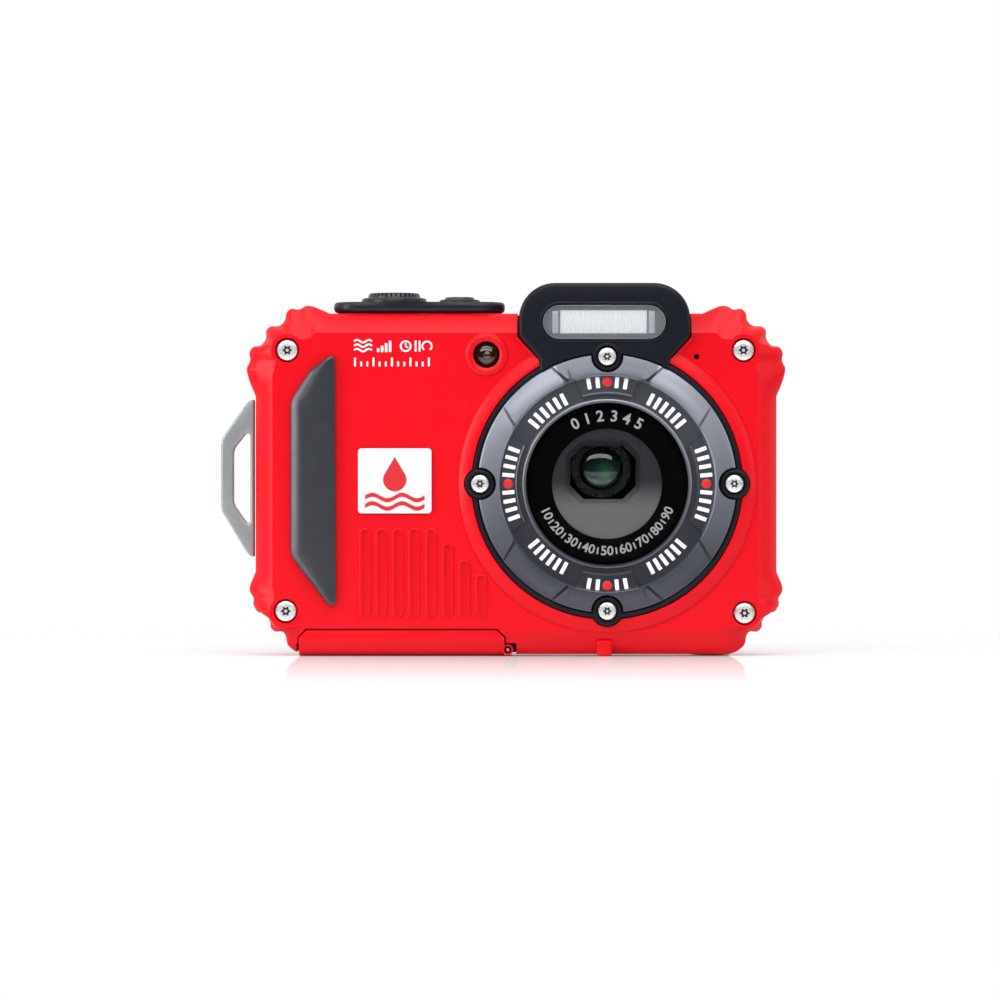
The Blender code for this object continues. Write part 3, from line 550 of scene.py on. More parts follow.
def panelLook(name, colour):
    # A dark liquid-crystal sheet with its fine grid of dots.
    look = Look(name, Coat_Weight=1.0, Coat_Roughness=0.03)
    where = look.node("ShaderNodeMapping", {}, {"Vector": look.place, "Rotation": (math.pi / 2, 0, 0)})
    grid = look.node("ShaderNodeTexBrick", {"offset": 0.0}, {
        "Vector": where, "Scale": 2600.0, "Mortar Size": 0.08, "Color1": colour, "Color2": tint(colour, 1.5),
            "Mortar": tint(colour, 0.4)})
    look.set(Base_Color=look.blend(look.noise(20.0, 2.0) * 0.5, grid, tint(colour, 1.8)))
    look.set(Roughness=0.12 + look.noise(8.0, 3.0) * 0.06)
    return look.material


def sensorLook(name):
    # A sensor's face in its ceramic frame, its iridescent shimmer painted as fixed coloured bands: a painted
    # reflection.
    look = Look(name, Coat_Weight=0.8, Coat_Roughness=0.05, Roughness=0.25)
    bands = look.node("ShaderNodeTexWave", {"bands_direction": "DIAGONAL"},
        {"Vector": look.place, "Scale": 300.0, "Distortion": 1.5})
    paintedIridescence = look.node("ShaderNodeValToRGB", {"stops": [
        (0.0, (0.03, 0.05, 0.10)), (0.5, (0.08, 0.05, 0.12)), (1.0, (0.03, 0.11, 0.09))]}, {0: bands})
    look.set(Base_Color=look.blend(look.noise(1.5, 3.0) * 0.4, paintedIridescence, (0.02, 0.02, 0.025)))
    look.set(Normal=look.bump(bands, 0.004, 0.3))
    return look.material


def threadLook(name, pitch):
    # Rolled thread: rings along the rod at the screw's pitch, its colour darkened in the roots between the crests
    # as painted shade.
    look = Look(name, Metallic=1.0)
    height = Wire(look, look.node("ShaderNodeSeparateXYZ", {},
        {0: look.place}).socket.node.outputs[2]) * (1000 * math.tau / pitch)
    crest = look.calc("SINE", height) * 0.5 + 0.5
    # Painted shade: the roots darker than the crests.
    look.set(Base_Color=look.blend(crest, (0.20, 0.19, 0.17), (0.62, 0.60, 0.56)))
    look.set(Roughness=0.22 + look.noise(0.6, 3.0) * 0.2)
    look.set(Normal=look.bump(crest, 0.12, 0.8))
    return look.material


finishes = {
    "red": (0.74, 0.0004, 0.0085), "black": (0.0125, 0.0145, 0.021), "rubber": (0.030, 0.036, 0.044),
    "seal": (0.30, 0.07, 0.02), "bracket": (0.34, 0.37, 0.38), "steel": (0.62, 0.62, 0.60),
        "white": (0.83, 0.79, 0.83),
    "ink": (0.88, 0.88, 0.90), "redInk": (0.62, 0.012, 0.02), "wrap": (0.03, 0.03, 0.035),
    "cell": (0.06, 0.065, 0.075),
}
looks = {
    "red": moulded("redShell", finishes["red"], 0.36, 0.35, 0.005, 0.03, Coat_Weight=0.05, Coat_Roughness=0.2,
        Specular_IOR_Level=0.2),
    "black": moulded("blackMoulding", (0.0085, 0.0105, 0.0160), 0.36, 0.16, 0.010, 0.10,
        Specular_IOR_Level=0.35),
    "keys": moulded("keyPlastic", finishes["black"], 0.33, 0.30, 0.006, 0.08, Coat_Weight=0.2,
        Coat_Roughness=0.2),
    "rubber": moulded("gripRubber", finishes["rubber"], 0.52, 0.12, 0.014, 0.12),
    "seal": moulded("sealRubber", finishes["seal"], 0.60, 0.30, 0.01),
    "bracket": moulded("bracketPaint", finishes["bracket"], 0.36, 0.10, 0.010, 0.08, Metallic=0.55),
    "white": moulded("badgeWhite", finishes["white"], 0.32, 0.40, 0.004, 0.02, Coat_Weight=0.3),
    "ink": moulded("whiteInk", finishes["ink"], 0.45, 0.20, 0.004, 0.03),
    "redInk": moulded("redInk", finishes["redInk"], 0.45, 0.20, 0.004, 0.05),
    "frame": baffleLook("baffleBlack", (0.30, 0.30, 0.31), (0.020, 0.024, 0.032)),
    "mask": moulded("maskInk", (0.0012, 0.0011, 0.0012), 0.45, 0.30, 0.003, 0.10, Specular_IOR_Level=0.05),
    "wrap": moulded("darkSleeve", finishes["wrap"], 0.42, 0.50, 0.006),
    "cell": moulded("batteryLabel", finishes["cell"], 0.38, 0.60, 0.005),
    "steel": metal("stainless", (0.86, 0.87, 0.85), 0.28, (1, 1, 1), share=0.6),
    "rodSteel": metal("groundRod", finishes["steel"], 0.20, (1, 1, 8)),
    "brass": metal("turnedBrass", (0.62, 0.42, 0.16), 0.30, (1, 1, 12)),
    "mirror": metal("reflector", (0.86, 0.87, 0.88), 0.14, (10, 1, 1), 0.01),
    "plated": metal("platedSheet", (0.55, 0.56, 0.58), 0.30, (6, 1, 1)),
    "grip": moulded("gripRubber", (0.010, 0.0135, 0.021), 0.36, 0.16, 0.008, 0.10, Specular_IOR_Level=0.9),
    # Painted light: the flash sheet glows faintly though it is no lamp.
    "sheet": moulded("flashSheet", (0.93, 0.94, 0.95), 0.35, 0.5, 0.004, 0.03,
        Emission_Color=(0.9, 0.92, 0.95), Emission_Strength=0.16),
    # Painted light: the clear end blocks glow faintly though they are no lamp.
    "endBlock": moulded("clearBlock", (0.55, 0.60, 0.66), 0.15, 0.5, 0.004, 0.08, Coat_Weight=0.8,
        Emission_Color=(0.8, 0.88, 1.0), Emission_Strength=0.08),
    "silverPaint": moulded("silverPaint", (0.30, 0.32, 0.35), 0.30, 0.4, 0.004, 0.08, Metallic=0.6),
    "lampGlass": moulded("lampGlass", (0.010, 0.002, 0.002), 0.10, 3.0, 0.002, 0.10, Coat_Weight=1.0,
        Coat_Roughness=0.04),
    "lampRed": moulded("lampRed", (0.06, 0.004, 0.004), 0.12, 3.0, 0.002, 0.10, Coat_Weight=1.0,
        Coat_Roughness=0.04),
    "panel": panelLook("screenPanel", (0.004, 0.0045, 0.006)),
    "prism": clearLook("prismGlass", (0.02, 0.02, 0.022), 0.06),
    "housing": moulded("glassFilledBlack", (0.014, 0.014, 0.016), 0.50, 0.20, 0.014, 0.15),
    "sensor": sensorLook("sensorFace"),
    "thread": threadLook("leadScrew", 0.6),
    "hoodBlack": moulded("hoodBlack", (0.0058, 0.0072, 0.0125), 0.34, 0.14, 0.008, 0.10,
        Specular_IOR_Level=0.22),
    "barrel": moulded("barrelBlack", (0.006, 0.006, 0.008), 0.28, 0.20, 0.003, 0.10, Coat_Weight=0.3),
    # Ring greys: the pale one is a painted highlight towards the top, the dark one painted shade towards the
    # bottom; the recess grey is the ring's own.
    "ring": ringLook({"x": 20.96, "z": 34.76, "shadedGrey": (0.045, 0.050, 0.068), "light": (0.285, 0.305, 0.350),
        "recess": (0.020, 0.023, 0.032)}),
    "coated": coatedGlass("coatedLens", 19.8, 37.9),
    "window": clearLook("portGlass", (0.004, 0.004, 0.005), 0.02),
    "flashClear": clearLook("flashCover", (0.85, 0.87, 0.90), 0.03, 0.05),
    "screen": moulded("screenGlass", (0.006, 0.0065, 0.008), 0.10, 3.0, 0.002, 0.05, Coat_Weight=1.0,
        Coat_Roughness=0.03),
    "board": boardLook("circuitBoard", (0.012, 0.10, 0.035)),
}
print("materials ready:", len(looks))


# Both halves of the shell share one outline, with the corner bumpers' lobes in it.
body = {
    "left": -50.0, "right": 55.3, "top": 69.2, "base": 0.35, "wall": 2.0,
    "front": -10.6, "frontRim": 5.4, "rear": 12.9, "rearRim": 6.7, "bandDepth": 3.3, "edge": 0.22,
    "faceLeft": -46.7, "faceTop": 65.4, "faceBase": 4.7, "mirror": 5.3, "faceMirror": 5.1,
    "screws": [(-43.5, 61.7), (48.5, 61.7), (-43.8, 9.1), (48.7, 8.7)],
    "screwSeat": 2.45, "screwSeatFloor": -8.75, "screwHole": 1.35, "bossRadius": 3.5,
    # lobes of a bumper, from the left side and from the top or the base
    "topLobes": [(0, -16.7), (-0.9, -14.6), (-1.6, -12.5), (-1.8, -11.0), (-1.1, -9.5), (-1.3, -8.0),
                 (-0.6, -6.8), (1.1, -6.4), (2.1, -5.0), (2.1, -3.5), (3.0, -2.6), (4.7, -2.5), (5.9, -1.4),
                 (6.2, 0.1), (7.2, 1.0), (8.7, 0.8), (10.0, 1.5), (11.4, 1.5), (13.2, 0.8), (15.0, 0)],
    "baseLobes": [(0, 17.0), (-0.6, 15.6), (-1.1, 14.3), (-1.2, 13.1), (-0.4, 11.6), (-0.5, 10.5), (0.4, 8.9),
                  (1.9, 8.6), (2.9, 7.0), (3.0, 5.8), (3.9, 4.9), (5.4, 4.9), (6.1, 3.9), (6.5, 2.2),
                  (8.2, 0.8), (10.0, 0.35)],
}


def aroundBody(side, corner, top, base, mirror):
    # A closed outline from its left half: the left side, the two left corners, and their mirror images.
    left = resampled([base[0], top[0]], side)[:-1] + resampled(flowing(top), corner)
    bottom = resampled(flowing(base), corner)
    leftHalf = bottom[::-1][:-1] + left
    rightHalf = [(mirror - x, z) for x, z in leftHalf[::-1]]
    across = resampled([leftHalf[-1], rightHalf[0]], side)[1:-1]
    back = resampled([rightHalf[-1], leftHalf[0]], side)[1:-1]
    return leftHalf + across + rightHalf + back


def bodyRows(settings, face, towards):
    # From the flat face over the slanted band to the side wall and back to the rim.
    wallLine = aroundBody(
        14, 64, [(settings["left"] + x, settings["top"] + z) for x, z in settings["topLobes"]],
        [(settings["left"] + x, z) for x, z in settings["baseLobes"]], settings["mirror"])
    wallLine = [(min(x, cadBox[1][0] * 1000 - 0.01), z) for x, z in wallLine]
    (sx, sz), (bx, bz) = settings["screws"][0], settings["screws"][2]
    x0, z0, z1, r = settings["faceLeft"], settings["faceTop"], settings["faceBase"], settings["bossRadius"]
    topLine = [(x0, sz - 6.4), (x0, sz - 5.2), (x0 + 0.3, sz - 4.0), *arc(sx, sz, r, 222, 60, 9),
               (x0 + 5.6, z0 - 1.3), (x0 + 7.8, z0 - 1.0), (x0 + 8.7, z0 - 0.1), (x0 + 10.5, z0)]
    baseLine = [(x0, bz + 6.2), (x0, bz + 5.2), (x0 + 0.3, bz + 4.0), *arc(bx, bz, r, 138, 292, 9),
                (x0 + 5.9, z1 + 1.2), (x0 + 7.8, z1 + 0.9), (x0 + 8.8, z1 + 0.1), (x0 + 10.5, z1)]
    faceLine = aroundBody(14, 64, topLine, baseLine, settings["faceMirror"])
    edge, depth = settings["edge"], settings["bandDepth"]
    mid = [tuple(0.42 * a + 0.58 * b for a, b in zip(p, q)) for p, q in zip(faceLine, wallLine)]
    steps = [(shrunk(faceLine, edge), 0.0), (faceLine, edge * 0.55), (mid, depth * 0.50),
             (shrunk(wallLine, edge), depth - edge * 0.9), (wallLine, depth + edge)]
    rows = [[(x, face + towards * depthHere, z) for x, z in line] for line, depthHere in steps]
    return rows, wallLine


def bodyHalf(name, settings, face, rim, towards):
    rows, wallLine = bodyRows(settings, face, towards)
    edge = settings["edge"]
    rows.append([(x, rim - towards * edge, z) for x, z in wallLine])
    rows.append([(x, rim, z) for x, z in shrunk(wallLine, edge)])
    return addLoft(name, rows)


def clippedBody(settings, inset, topClip, baseClip):
    left, right = settings["left"] + inset, settings["right"] - inset
    low, high = inset, settings["top"] - inset
    return [(left, low + baseClip), (left + baseClip, low), (right - baseClip, low), (right, low + baseClip),
            (right, high - topClip), (right - topClip, high), (left + topClip, high), (left, high - topClip)]


port = {"x": 20.96, "z": 34.76, "hole": 24.0, "seat": 27.35, "seatFloor": -9.6, "earCircle": 25.6, "ear": 3.25}


def portSeatOutline(settings):
    # A circle with four bays, one round each screw's ear.
    r, ear, ring = settings["seat"], settings["ear"], settings["earCircle"]
    half = math.degrees(math.acos((r * r + ring * ring - ear * ear) / (2 * r * ring)))
    lean = math.degrees(math.acos((ring * ring + ear * ear - r * r) / (2 * ring * ear)))
    points = []
    for quarter in (0, 90, 180, 270):
        turn = math.radians(quarter)
        ex, ez = settings["x"] + ring * math.cos(turn), settings["z"] + ring * math.sin(turn)
        points += arc(ex, ez, ear, quarter - 180 + lean, quarter + 180 - lean, 20)
        points += arc(settings["x"], settings["z"], r, quarter + half, quarter + 90 - half, 24)[1:-1]
    return points


hood = {
    "left": 3.2, "right": 37.7, "top": 75.2, "corner": 7.3, "waistZ": 59.9, "waist": 4.1, "flare": 64.4,
        "foot": 55.0,
    "front": -12.8, "back": 2.0, "shoulder": 1.25, "flashLeft": 8.1, "flashRight": 32.7, "flashBase": 64.0,
        "flashTop": 70.7,
}


def hoodOutline(settings, grow=0.0, foot=None):
    left, right, top = settings["left"] - grow, settings["right"] + grow, settings["top"] + grow
    radius, waist, foot = settings["corner"] + grow, settings["waist"], settings["foot"] if foot is None else foot
    return (arc(right - radius, top - radius, radius, 0, 90, 14) + arc(left + radius, top - radius, radius,
        90, 180, 14)
            + [(left, settings["flare"]), (left + waist, settings["waistZ"]), (left + waist, foot),
               (right - waist, foot), (right - waist, settings["waistZ"]), (right, settings["flare"])])


grooves = {"x": [-27.8, -24.5, -21.2, -17.9, -14.5, -11.15, -7.8, -4.4],
    "top": [25.5] * 5 + [22.5, 19.2, 16.2], "base": 8.1,
           "width": 1.35, "lip": 2.5, "depth": 0.12, "rise": 0.3}


grip = {
    "outline": [(-33.85, 60.0), (-34.25, 60.5), (-34.9, 60.55), (-36.4, 59.5), (-38.7, 57.8), (-40.6, 55.0),
                (-42.4, 52.1), (-42.75, 51.2), (-42.8, 50.2), (-42.8, 21.6), (-42.7, 20.4), (-42.1, 19.4),
                (-38.8, 15.0), (-35.5, 10.7), (-34.9, 10.2), (-34.2, 10.15), (-33.75, 10.6), (-33.55, 11.2)],
    "foot": -10.45, "face": -12.88, "ridge": 0.34,
}


def gripOutline(grow=0.0):
    return shrunk(resampled(grip["outline"] + grip["outline"][:1], 141)[:-1], -grow)


def stadium(x, low, high, width, count=8):
    r = width / 2
    return arc(x, high - r, r, 0, 180, count) + arc(x, low + r, r, 180, 360, count)


def buildFrontShell():
    shell = bodyHalf("frontShell", body, body["front"], body["frontRim"], 1)
    x, z, face = port["x"], port["z"], body["front"]
    collar = addTurned("collar", [
        (27.0, 11.9), (27.9, 11.9), (28.25, 11.82), (29.7, 11.1), (29.95, 10.95), (30.1, 10.72), (30.1, 9.9),
        (27.0, 9.9)],
        (x, 0, z), 128, closed=True)
    shoulder = addPlate("shoulder", hoodOutline(hood, hood["shoulder"], 56.0), face + 0.9, face - 0.75)
    roundEdges(shoulder, 0.45, 3, 60)
    topTrim = addBlock("topTrim", (-10, -20, 64.2), (60, 0, 90))
    cut(shoulder, topTrim)
    lampRim = addTurned("lampRim", [
        (2.5, 10.2), (2.5, 10.7), (2.85, 10.9), (3.25, 11.15), (3.55, 11.2), (3.85, 11.12), (4.3, 10.75),
        (4.5, 10.5), (4.5, 10.2)],
        (-3.34, 0, 60.8), 64, closed=True)
    foot = addBlock("foot", (18.9, -10.2, 0.04), (22.0, -6.0, 3.3))
    roundEdges(foot, 0.5, 3)
    weld(shell, collar, shoulder, lampRim, foot)
    lips = [addPlate("lip", stadium(gx, grooves["base"] - 0.4, top + 0.4, grooves["lip"]), face + 0.7,
        face - grooves["rise"])
            for gx, top in zip(grooves["x"], grooves["top"])]
    for lip in lips:
        roundEdges(lip, 0.28, 4, 60)
    weld(shell, *lips)
    slots = [addPlate("slot", stadium(gx, grooves["base"], top, grooves["width"]), face + grooves["depth"],
        face - 2)
             for gx, top in zip(grooves["x"], grooves["top"])]
    cavity = addPlate("cavity", clippedBody(body, 2.2, 13.5, 13.0), face + body["wall"], body["frontRim"] + 1)
    holes = [
        addRod("portHole", port["hole"], (x, -20, z), (x, -5, z), 96),
        addPlate("portSeat", portSeatOutline(port), -20, port["seatFloor"]),
        addPlate("hoodSeat", hoodOutline(hood, 0.3, 60.5), -20, hood["back"] + 0.3),
        addRod("lampHole", 2.7, (-3.34, -20, 60.8), (-3.34, 0, 60.8), 48),
        addRod("micHole", 0.55, (39.0, -20, 60.4), (39.0, 0, 60.4), 24),
        addBlock("doorHole", (-41.7, -20, -10), (2.7, 4.9, 2.6)),
        addPlate("lipHole", [(-41.45, -5), (0.55, -5), (0.55, 3.85), (-1.15, 5.55), (-39.75, 5.55),
        (-41.45, 3.85)], -20, -7),
        addPlate("gripSeat", gripOutline(0.2), -20, -10.2),
        addBlock("doorWell", (-40.3, -8.3, -10), (-1.0, 4.9, 6.3)),
        addRod("socketHole", 4.5, (42.1, -1, -10), (42.1, -1, 10), 48),
    ]
    cut(shell, *slots, cavity, *holes)
    for sx, sz in body["screws"]:
        cut(shell, addRod("screwSeat", body["screwSeat"], (sx, -20, sz), (sx, body["screwSeatFloor"], sz), 48),
            addRod("screwHole", body["screwHole"], (sx, -20, sz), (sx, 20, sz), 24))
    return finished(shell, mainBody, "red_shell", looks["red"], "front_shell", angle=28)


buildFrontShell()
print("front shell ready")

screenPlace = {"left": -9.5, "right": 50.5, "base": 12.0, "top": 58.0, "seatFloor": 11.2}
keyPlaces = {
    "tele_key": (-35, 58, 8, 4.4), "wide_key": (-25, 58, 8, 4.4), "record_key": (-15.6, 58, 5.6, 5.6),
    "play_key": (-33.5, 48.5, 7, 4), "menu_key": (-18.5, 48.5, 7, 4), "delete_key": (-18.5, 17, 7, 4),
    "nav_pad": (-26, 33, 18, 18), "ok_key": (-26, 33, 7.4, 7.4),
}


def buildRearShell():
    shell = bodyHalf("rearShell", body, body["rear"], body["rearRim"], -1)
    frameRim = addPlate("screenRim", rounded(-11.2, 10.3, 52.2, 59.7, 2.0), 12.2, 13.25)
    roundEdges(frameRim, 0.35, 3, 60)
    weld(shell, frameRim)
    place = screenPlace
    holes = [
        addPlate("cavity", clippedBody(body, 2.2, 13.5, 13.0), 5.7, body["rear"] - body["wall"]),
        addPlate("screenSeat", rounded(place["left"] - 0.3, place["base"] - 0.3, place["right"] + 0.3,
        place["top"] + 0.3, 0.9),
                 place["seatFloor"], 20),
        addPlate("screenHole", rounded(place["left"] + 1.6, place["base"] + 1.6, place["right"] - 1.6,
        place["top"] - 1.6, 0.5),
                 0, 20),
        addPlate("navHole", arc(-26, 33, 9.3, 0, 360, 96)[:-1], 0, 20),
    ]
    for name, (x, z, width, high) in keyPlaces.items():
        if name not in ("nav_pad", "ok_key"):
            w, h = width / 2 + 0.3, high / 2 + 0.3
            holes.append(addPlate(name + "Hole", rounded(x - w, z - h, x + w, z + h, high / 2), 6, 20))
    holes += [addPlate("soundSlot", stadium(-43.6 + i * 1.6, 13, 17, 0.8), 0, 20) for i in range(4)]
    cut(shell, *holes)
    for sx, sz in body["screws"]:
        cut(shell, addRod("screwHole", body["screwHole"], (sx, 0, sz), (sx, 10.9, sz), 24))
    return finished(shell, mainBody, "red_shell", looks["red"], "rear_shell", angle=28)


buildRearShell()
print("rear shell ready")


ringScrews = [(port["x"] + 25.6 * math.cos(t * math.pi / 2), port["z"] + 25.6 * math.sin(t * math.pi / 2))
    for t in range(4)]


def flashStadium(grow=0.0):
    low, high = hood["flashBase"] - grow, hood["flashTop"] + grow
    r = (high - low) / 2
    left, right = hood["flashLeft"] - grow, hood["flashRight"] + grow
    return arc(right - r, low + r, r, -90, 90, 20) + arc(left + r, low + r, r, 90, 270, 20)


def buildSurround():
    centre = (port["x"], 0, port["z"])
    x, z = port["x"], port["z"]
    surround = addTurned("lensSurround", [
        (12.9, 10.0), (17.9, 10.0), (17.9, 11.1), (26.2, 11.1), (26.2, 12.15), (26.28, 12.3), (26.4, 12.36),
        (26.66, 12.38), (26.85, 12.33), (27.05, 12.12), (27.1, 11.85), (27.1, 9.9), (23.6, 9.9), (23.6, 8.8),
        (12.9, 8.8)],
        centre, 160, closed=True)
    outline = hoodOutline(hood)
    arch = addPlate("flashHood", outline, hood["front"], hood["back"])
    roundEdges(arch, 0.85, 5, 25)
    inside = addRod("inside", 23.8, (x, -20, z), (x, 10, z), 96)
    ringRoom = addRod("ringRoom", 26.35, (x, -20, z), (x, -10.9, z), 128)
    under = addBlock("under", (0, -9.9, 0), (50, 20, 61.0))
    cut(arch, inside, ringRoom, under)
    weld(surround, arch)
    ears = [addTurned("ear", [(0, 13.0), (2.45, 13.0), (2.75, 12.92), (2.95, 12.7), (3.0, 12.4), (3.0, 9.95),
        (0, 9.95)], (ex, 0, ez), 48)
            for ex, ez in ringScrews]
    weld(surround, *ears)
    lip = addPlate("flashLip", flashStadium(0.75), -12.2, -13.0)
    roundEdges(lip, 0.2, 3, 60)
    weld(surround, lip)
    cut(surround, addPlate("flashSeat", flashStadium(0.3), -20, -11.1),
        addBlock("flashBay", (9.6, -12, 64.6), (31.2, -2.5, 70.1)))
    for ex, ez in ringScrews:
        cut(surround, addRod("headRoom", 2.2, (ex, -20, ez), (ex, -12.0, ez), 48),
            addRod("hole", 1.1, (ex, -20, ez), (ex, 10, ez), 24))
    return finished(surround, mainBody, "black_plastic", looks["hoodBlack"], "lens_surround", angle=30)


ring = {
    # (radius, half angle) along a raised segment's side: wide ones left and right, narrow ones top and bottom
    "wideSide": [(16.0, 22.0), (18.0, 24.6), (21.3, 26.6), (22.3, 31.5), (26.9, 36.9)],
    "narrowSide": [(16.0, 13.6), (18.4, 15.8), (21.9, 17.0), (22.7, 21.0), (26.9, 26.0)],
    "base": [(16.3, 11.4), (16.3, 12.35), (16.4, 12.6), (16.75, 12.98), (16.9, 13.02), (17.02, 12.95),
             (17.1, 12.7), (17.25, 12.6), (21.7, 12.6), (21.85, 12.75), (21.95, 13.2), (22.1, 13.34),
             (22.35, 13.34), (25.7, 12.50), (25.97, 12.3), (26.05, 12.05), (26.05, 11.4)],
    "raised": [(17.95, 12.0), (17.95, 13.0), (18.05, 13.14), (18.25, 13.18), (18.4, 13.1), (18.5, 13.02),
               (21.35, 13.02), (21.5, 13.15), (21.72, 13.75), (21.9, 13.85), (22.3, 13.85), (25.65, 13.0),
               (25.93, 12.84), (26.03, 12.6), (26.03, 12.0)],
}


def segmentOutline(side, middle):
    points = []
    for sign, line in ((1, side), (-1, side[::-1])):
        for radius, half in line:
            turn = math.radians(middle + sign * half)
            points.append((port["x"] + radius * math.cos(turn), port["z"] + radius * math.sin(turn)))
        if sign == 1:
            points += arc(port["x"], port["z"], 26.9, middle + line[-1][1], middle - line[-1][1], 12)[1:-1]
    return points


def addSeams(side, middle):
    # Narrow slots that part a raised segment from its neighbours across the sloping rim.
    (r0, half0), (r1, half1) = ring[side][-2:]
    seams = []
    for sign in (1, -1):
        ends = [(r0 - 0.7, half0 + 0.9), (r1, half1 + 1.0), (r1, half1 - 0.5), (r0 - 0.7, half0 - 0.6)]
        seams.append(addPlate("seam", [
            (port["x"] + r * math.cos(math.radians(middle + sign * half)),
            port["z"] + r * math.sin(math.radians(middle + sign * half)))
            for r, half in ends], -20, -12.4))
    return seams


def buildRing():
    centre = (port["x"], 0, port["z"])
    whole = addTurned("lensRing", ring["base"], centre, 160, closed=True)
    segments = (("wideSide", 0), ("narrowSide", 90), ("wideSide", 180), ("narrowSide", 270))
    cut(whole, *[seam for side, middle in segments for seam in addSeams(side, middle)])
    for side, middle in segments:
        piece = addTurned("segment", ring["raised"], centre, 160, closed=True)
        wedge = addPlate("wedge", segmentOutline(ring[side], middle), -20, -5)
        combine(piece, "INTERSECT", [wedge])
        roundEdges(piece, 0.13, 2, 50)
        weld(whole, piece)
    cut(whole, *[addRod("earRoom", 3.25, (ex, -20, ez), (ex, 0, ez), 48) for ex, ez in ringScrews])
    return finished(healed(whole), mainBody, "ring_grey", looks["ring"], "lens_ring", angle=24)


ticks = {"wide": 0.8, "diagonal": 51.0, "pitch": 4.7, "count": 6}


def addTick(inner, outer, turn, height, width=None):
    # A bar that lies along a radius, with softened ends. Height is above the middle plane, towards the front.
    half = (width or ticks["wide"]) / 2
    bar = addPlate("tick", rounded(port["x"] + inner, port["z"] - half, port["x"] + outer, port["z"] + half,
        0.12, 3),
                   -height + 0.08, -height)
    placed = copied(bar, turn, (port["x"], port["z"]))
    bpy.data.objects.remove(bar, do_unlink=True)
    return placed


def buildTicks():
    bars = []
    for middle, steps, inner, outer in ((0, (5, 10, 15, 20), 18.75, 21.2), (180, (5, 10, 15, 20), 18.75, 21.2),
                                        (90, (5.4, 10.4), 19.3, 21.5), (270, (5.4, 10.4), 19.3, 21.5)):
        bars += [addTick(inner, outer, middle + sign * step, 13.16) for step in steps for sign in (-1, 1)]
    for centre in (ticks["diagonal"], 180 - ticks["diagonal"], 180 + ticks["diagonal"],
        360 - ticks["diagonal"]):
        for i in range(ticks["count"]):
            turn = centre + (i - (ticks["count"] - 1) / 2) * ticks["pitch"]
            bars.append(addTick(17.75, 20.35, turn, 12.74))
    finished(joined("ringTicks", bars), mainBody, "white_badge", looks["ink"], angle=30)
    dots = [addTurned("dot", [(0, 13.20), (0.86, 13.20), (0.98, 13.14), (0.98, 12.95), (0, 12.95)],
                      (port["x"] + radius * math.cos(math.radians(turn)), 0,
                      port["z"] + radius * math.sin(math.radians(turn))), 40)
            for turn, radius in ((0, 19.95), (90, 20.5), (180, 19.95), (270, 20.5))]
    finished(joined("ringDots", dots), mainBody, "red_shell", looks["redInk"], angle=30)


def buildWindow():
    centre = (port["x"], 0, port["z"])
    pane = addTurned("lensWindow", [(0, 12.9), (15.4, 12.9), (15.68, 12.84), (15.85, 12.68), (15.9, 12.45),
        (15.9, 11.3), (0, 11.3)], centre, 128)
    finished(pane, mainBody, "clear_glass", looks["window"], "lens_window", angle=20)


mask = {"inner": 11.1, "middle": (20.2, 37.1), "opening": (13.8, 11.5), "clip": 2.7}


def octagon(middle, width, high, clip):
    x, z, w, h = *middle, width / 2, high / 2
    return [(x + w, z + h - clip), (x + w - clip, z + h), (x - w + clip, z + h), (x - w, z + h - clip),
            (x - w, z - h + clip), (x - w + clip, z - h), (x + w - clip, z - h), (x + w, z - h + clip)]


def buildMask():
    centre = (port["x"], 0, port["z"])
    plateBack = addRod("lensMask", 17.55, (port["x"], -10.75, port["z"]), (port["x"], -10.3, port["z"]), 96)
    wide, high = mask["opening"]
    middle = mask["middle"]
    funnel = addBlock("funnel", (12.3, -10.6, 30.85), (28.1, -8.2, 43.35))
    weld(plateBack, funnel)
    outer = addPlate("outerStep", rounded(middle[0] - 7.7, middle[1] - 6.45, middle[0] + 7.7,
        middle[1] + 6.45, 2.6), -12, -10.45)
    rows = [(wide + 1.1, high + 0.9, -10.9), (wide + 0.9, high + 0.7, -10.2), (wide - 0.5, high - 0.6, -8.9),
        (wide - 0.6, high - 0.7, -7.9)]
    inner = addLoft("opening", [[(px, depth, pz) for px, pz in octagon(middle, w, h, mask["clip"])] for w, h,
        depth in rows])
    cut(plateBack, outer, inner)
    roundEdges(plateBack, 0.08, 2, 40)
    finished(plateBack, mainBody, "grey_frame", looks["frame"], "lens_mask", angle=30)
    ink = addTurned("maskInk", [(mask["inner"], 11.15), (15.95, 11.15), (17.5, 11.15), (17.5, 10.85),
        (mask["inner"], 10.85)], centre, 128, closed=True)
    finished(ink, mainBody, "black_plastic", looks["mask"], angle=30)


def addWord(name, text, size, thickness=0.05):
    onlySelect()
    bpy.ops.object.text_add(location=(0, 0, 0))
    obj = named(name)
    obj.data.body = text
    obj.data.align_x = "CENTER"
    obj.data.align_y = "CENTER"
    obj.data.size = mm(size)
    obj.data.extrude = mm(thickness / 2)
    obj.data.offset = mm(size * 0.022)
    obj.data.resolution_u = 4
    onlySelect(obj)
    bpy.ops.object.convert(target="MESH")
    obj = bpy.context.active_object
    for vertex in obj.data.vertices:
        x, up, depth = vertex.co
        vertex.co = (x, -depth, up)
    return obj


def aroundPort(obj, radius, turn, depth, upright=False):
    # Sets a flat piece, made about the origin, on a circle round the port. Upright ones have their feet outwards.
    spin = turn + 90 if upright else turn - 90
    cos, sin = math.cos(math.radians(spin)), math.sin(math.radians(spin))
    cx = mm(port["x"]) + mm(radius) * math.cos(math.radians(turn))
    cz = mm(port["z"]) + mm(radius) * math.sin(math.radians(turn))
    for vertex in obj.data.vertices:
        x, y, z = vertex.co
        vertex.co = (cx + x * cos - z * sin, y - mm(depth), cz + x * sin + z * cos)
    return facingOut(obj)


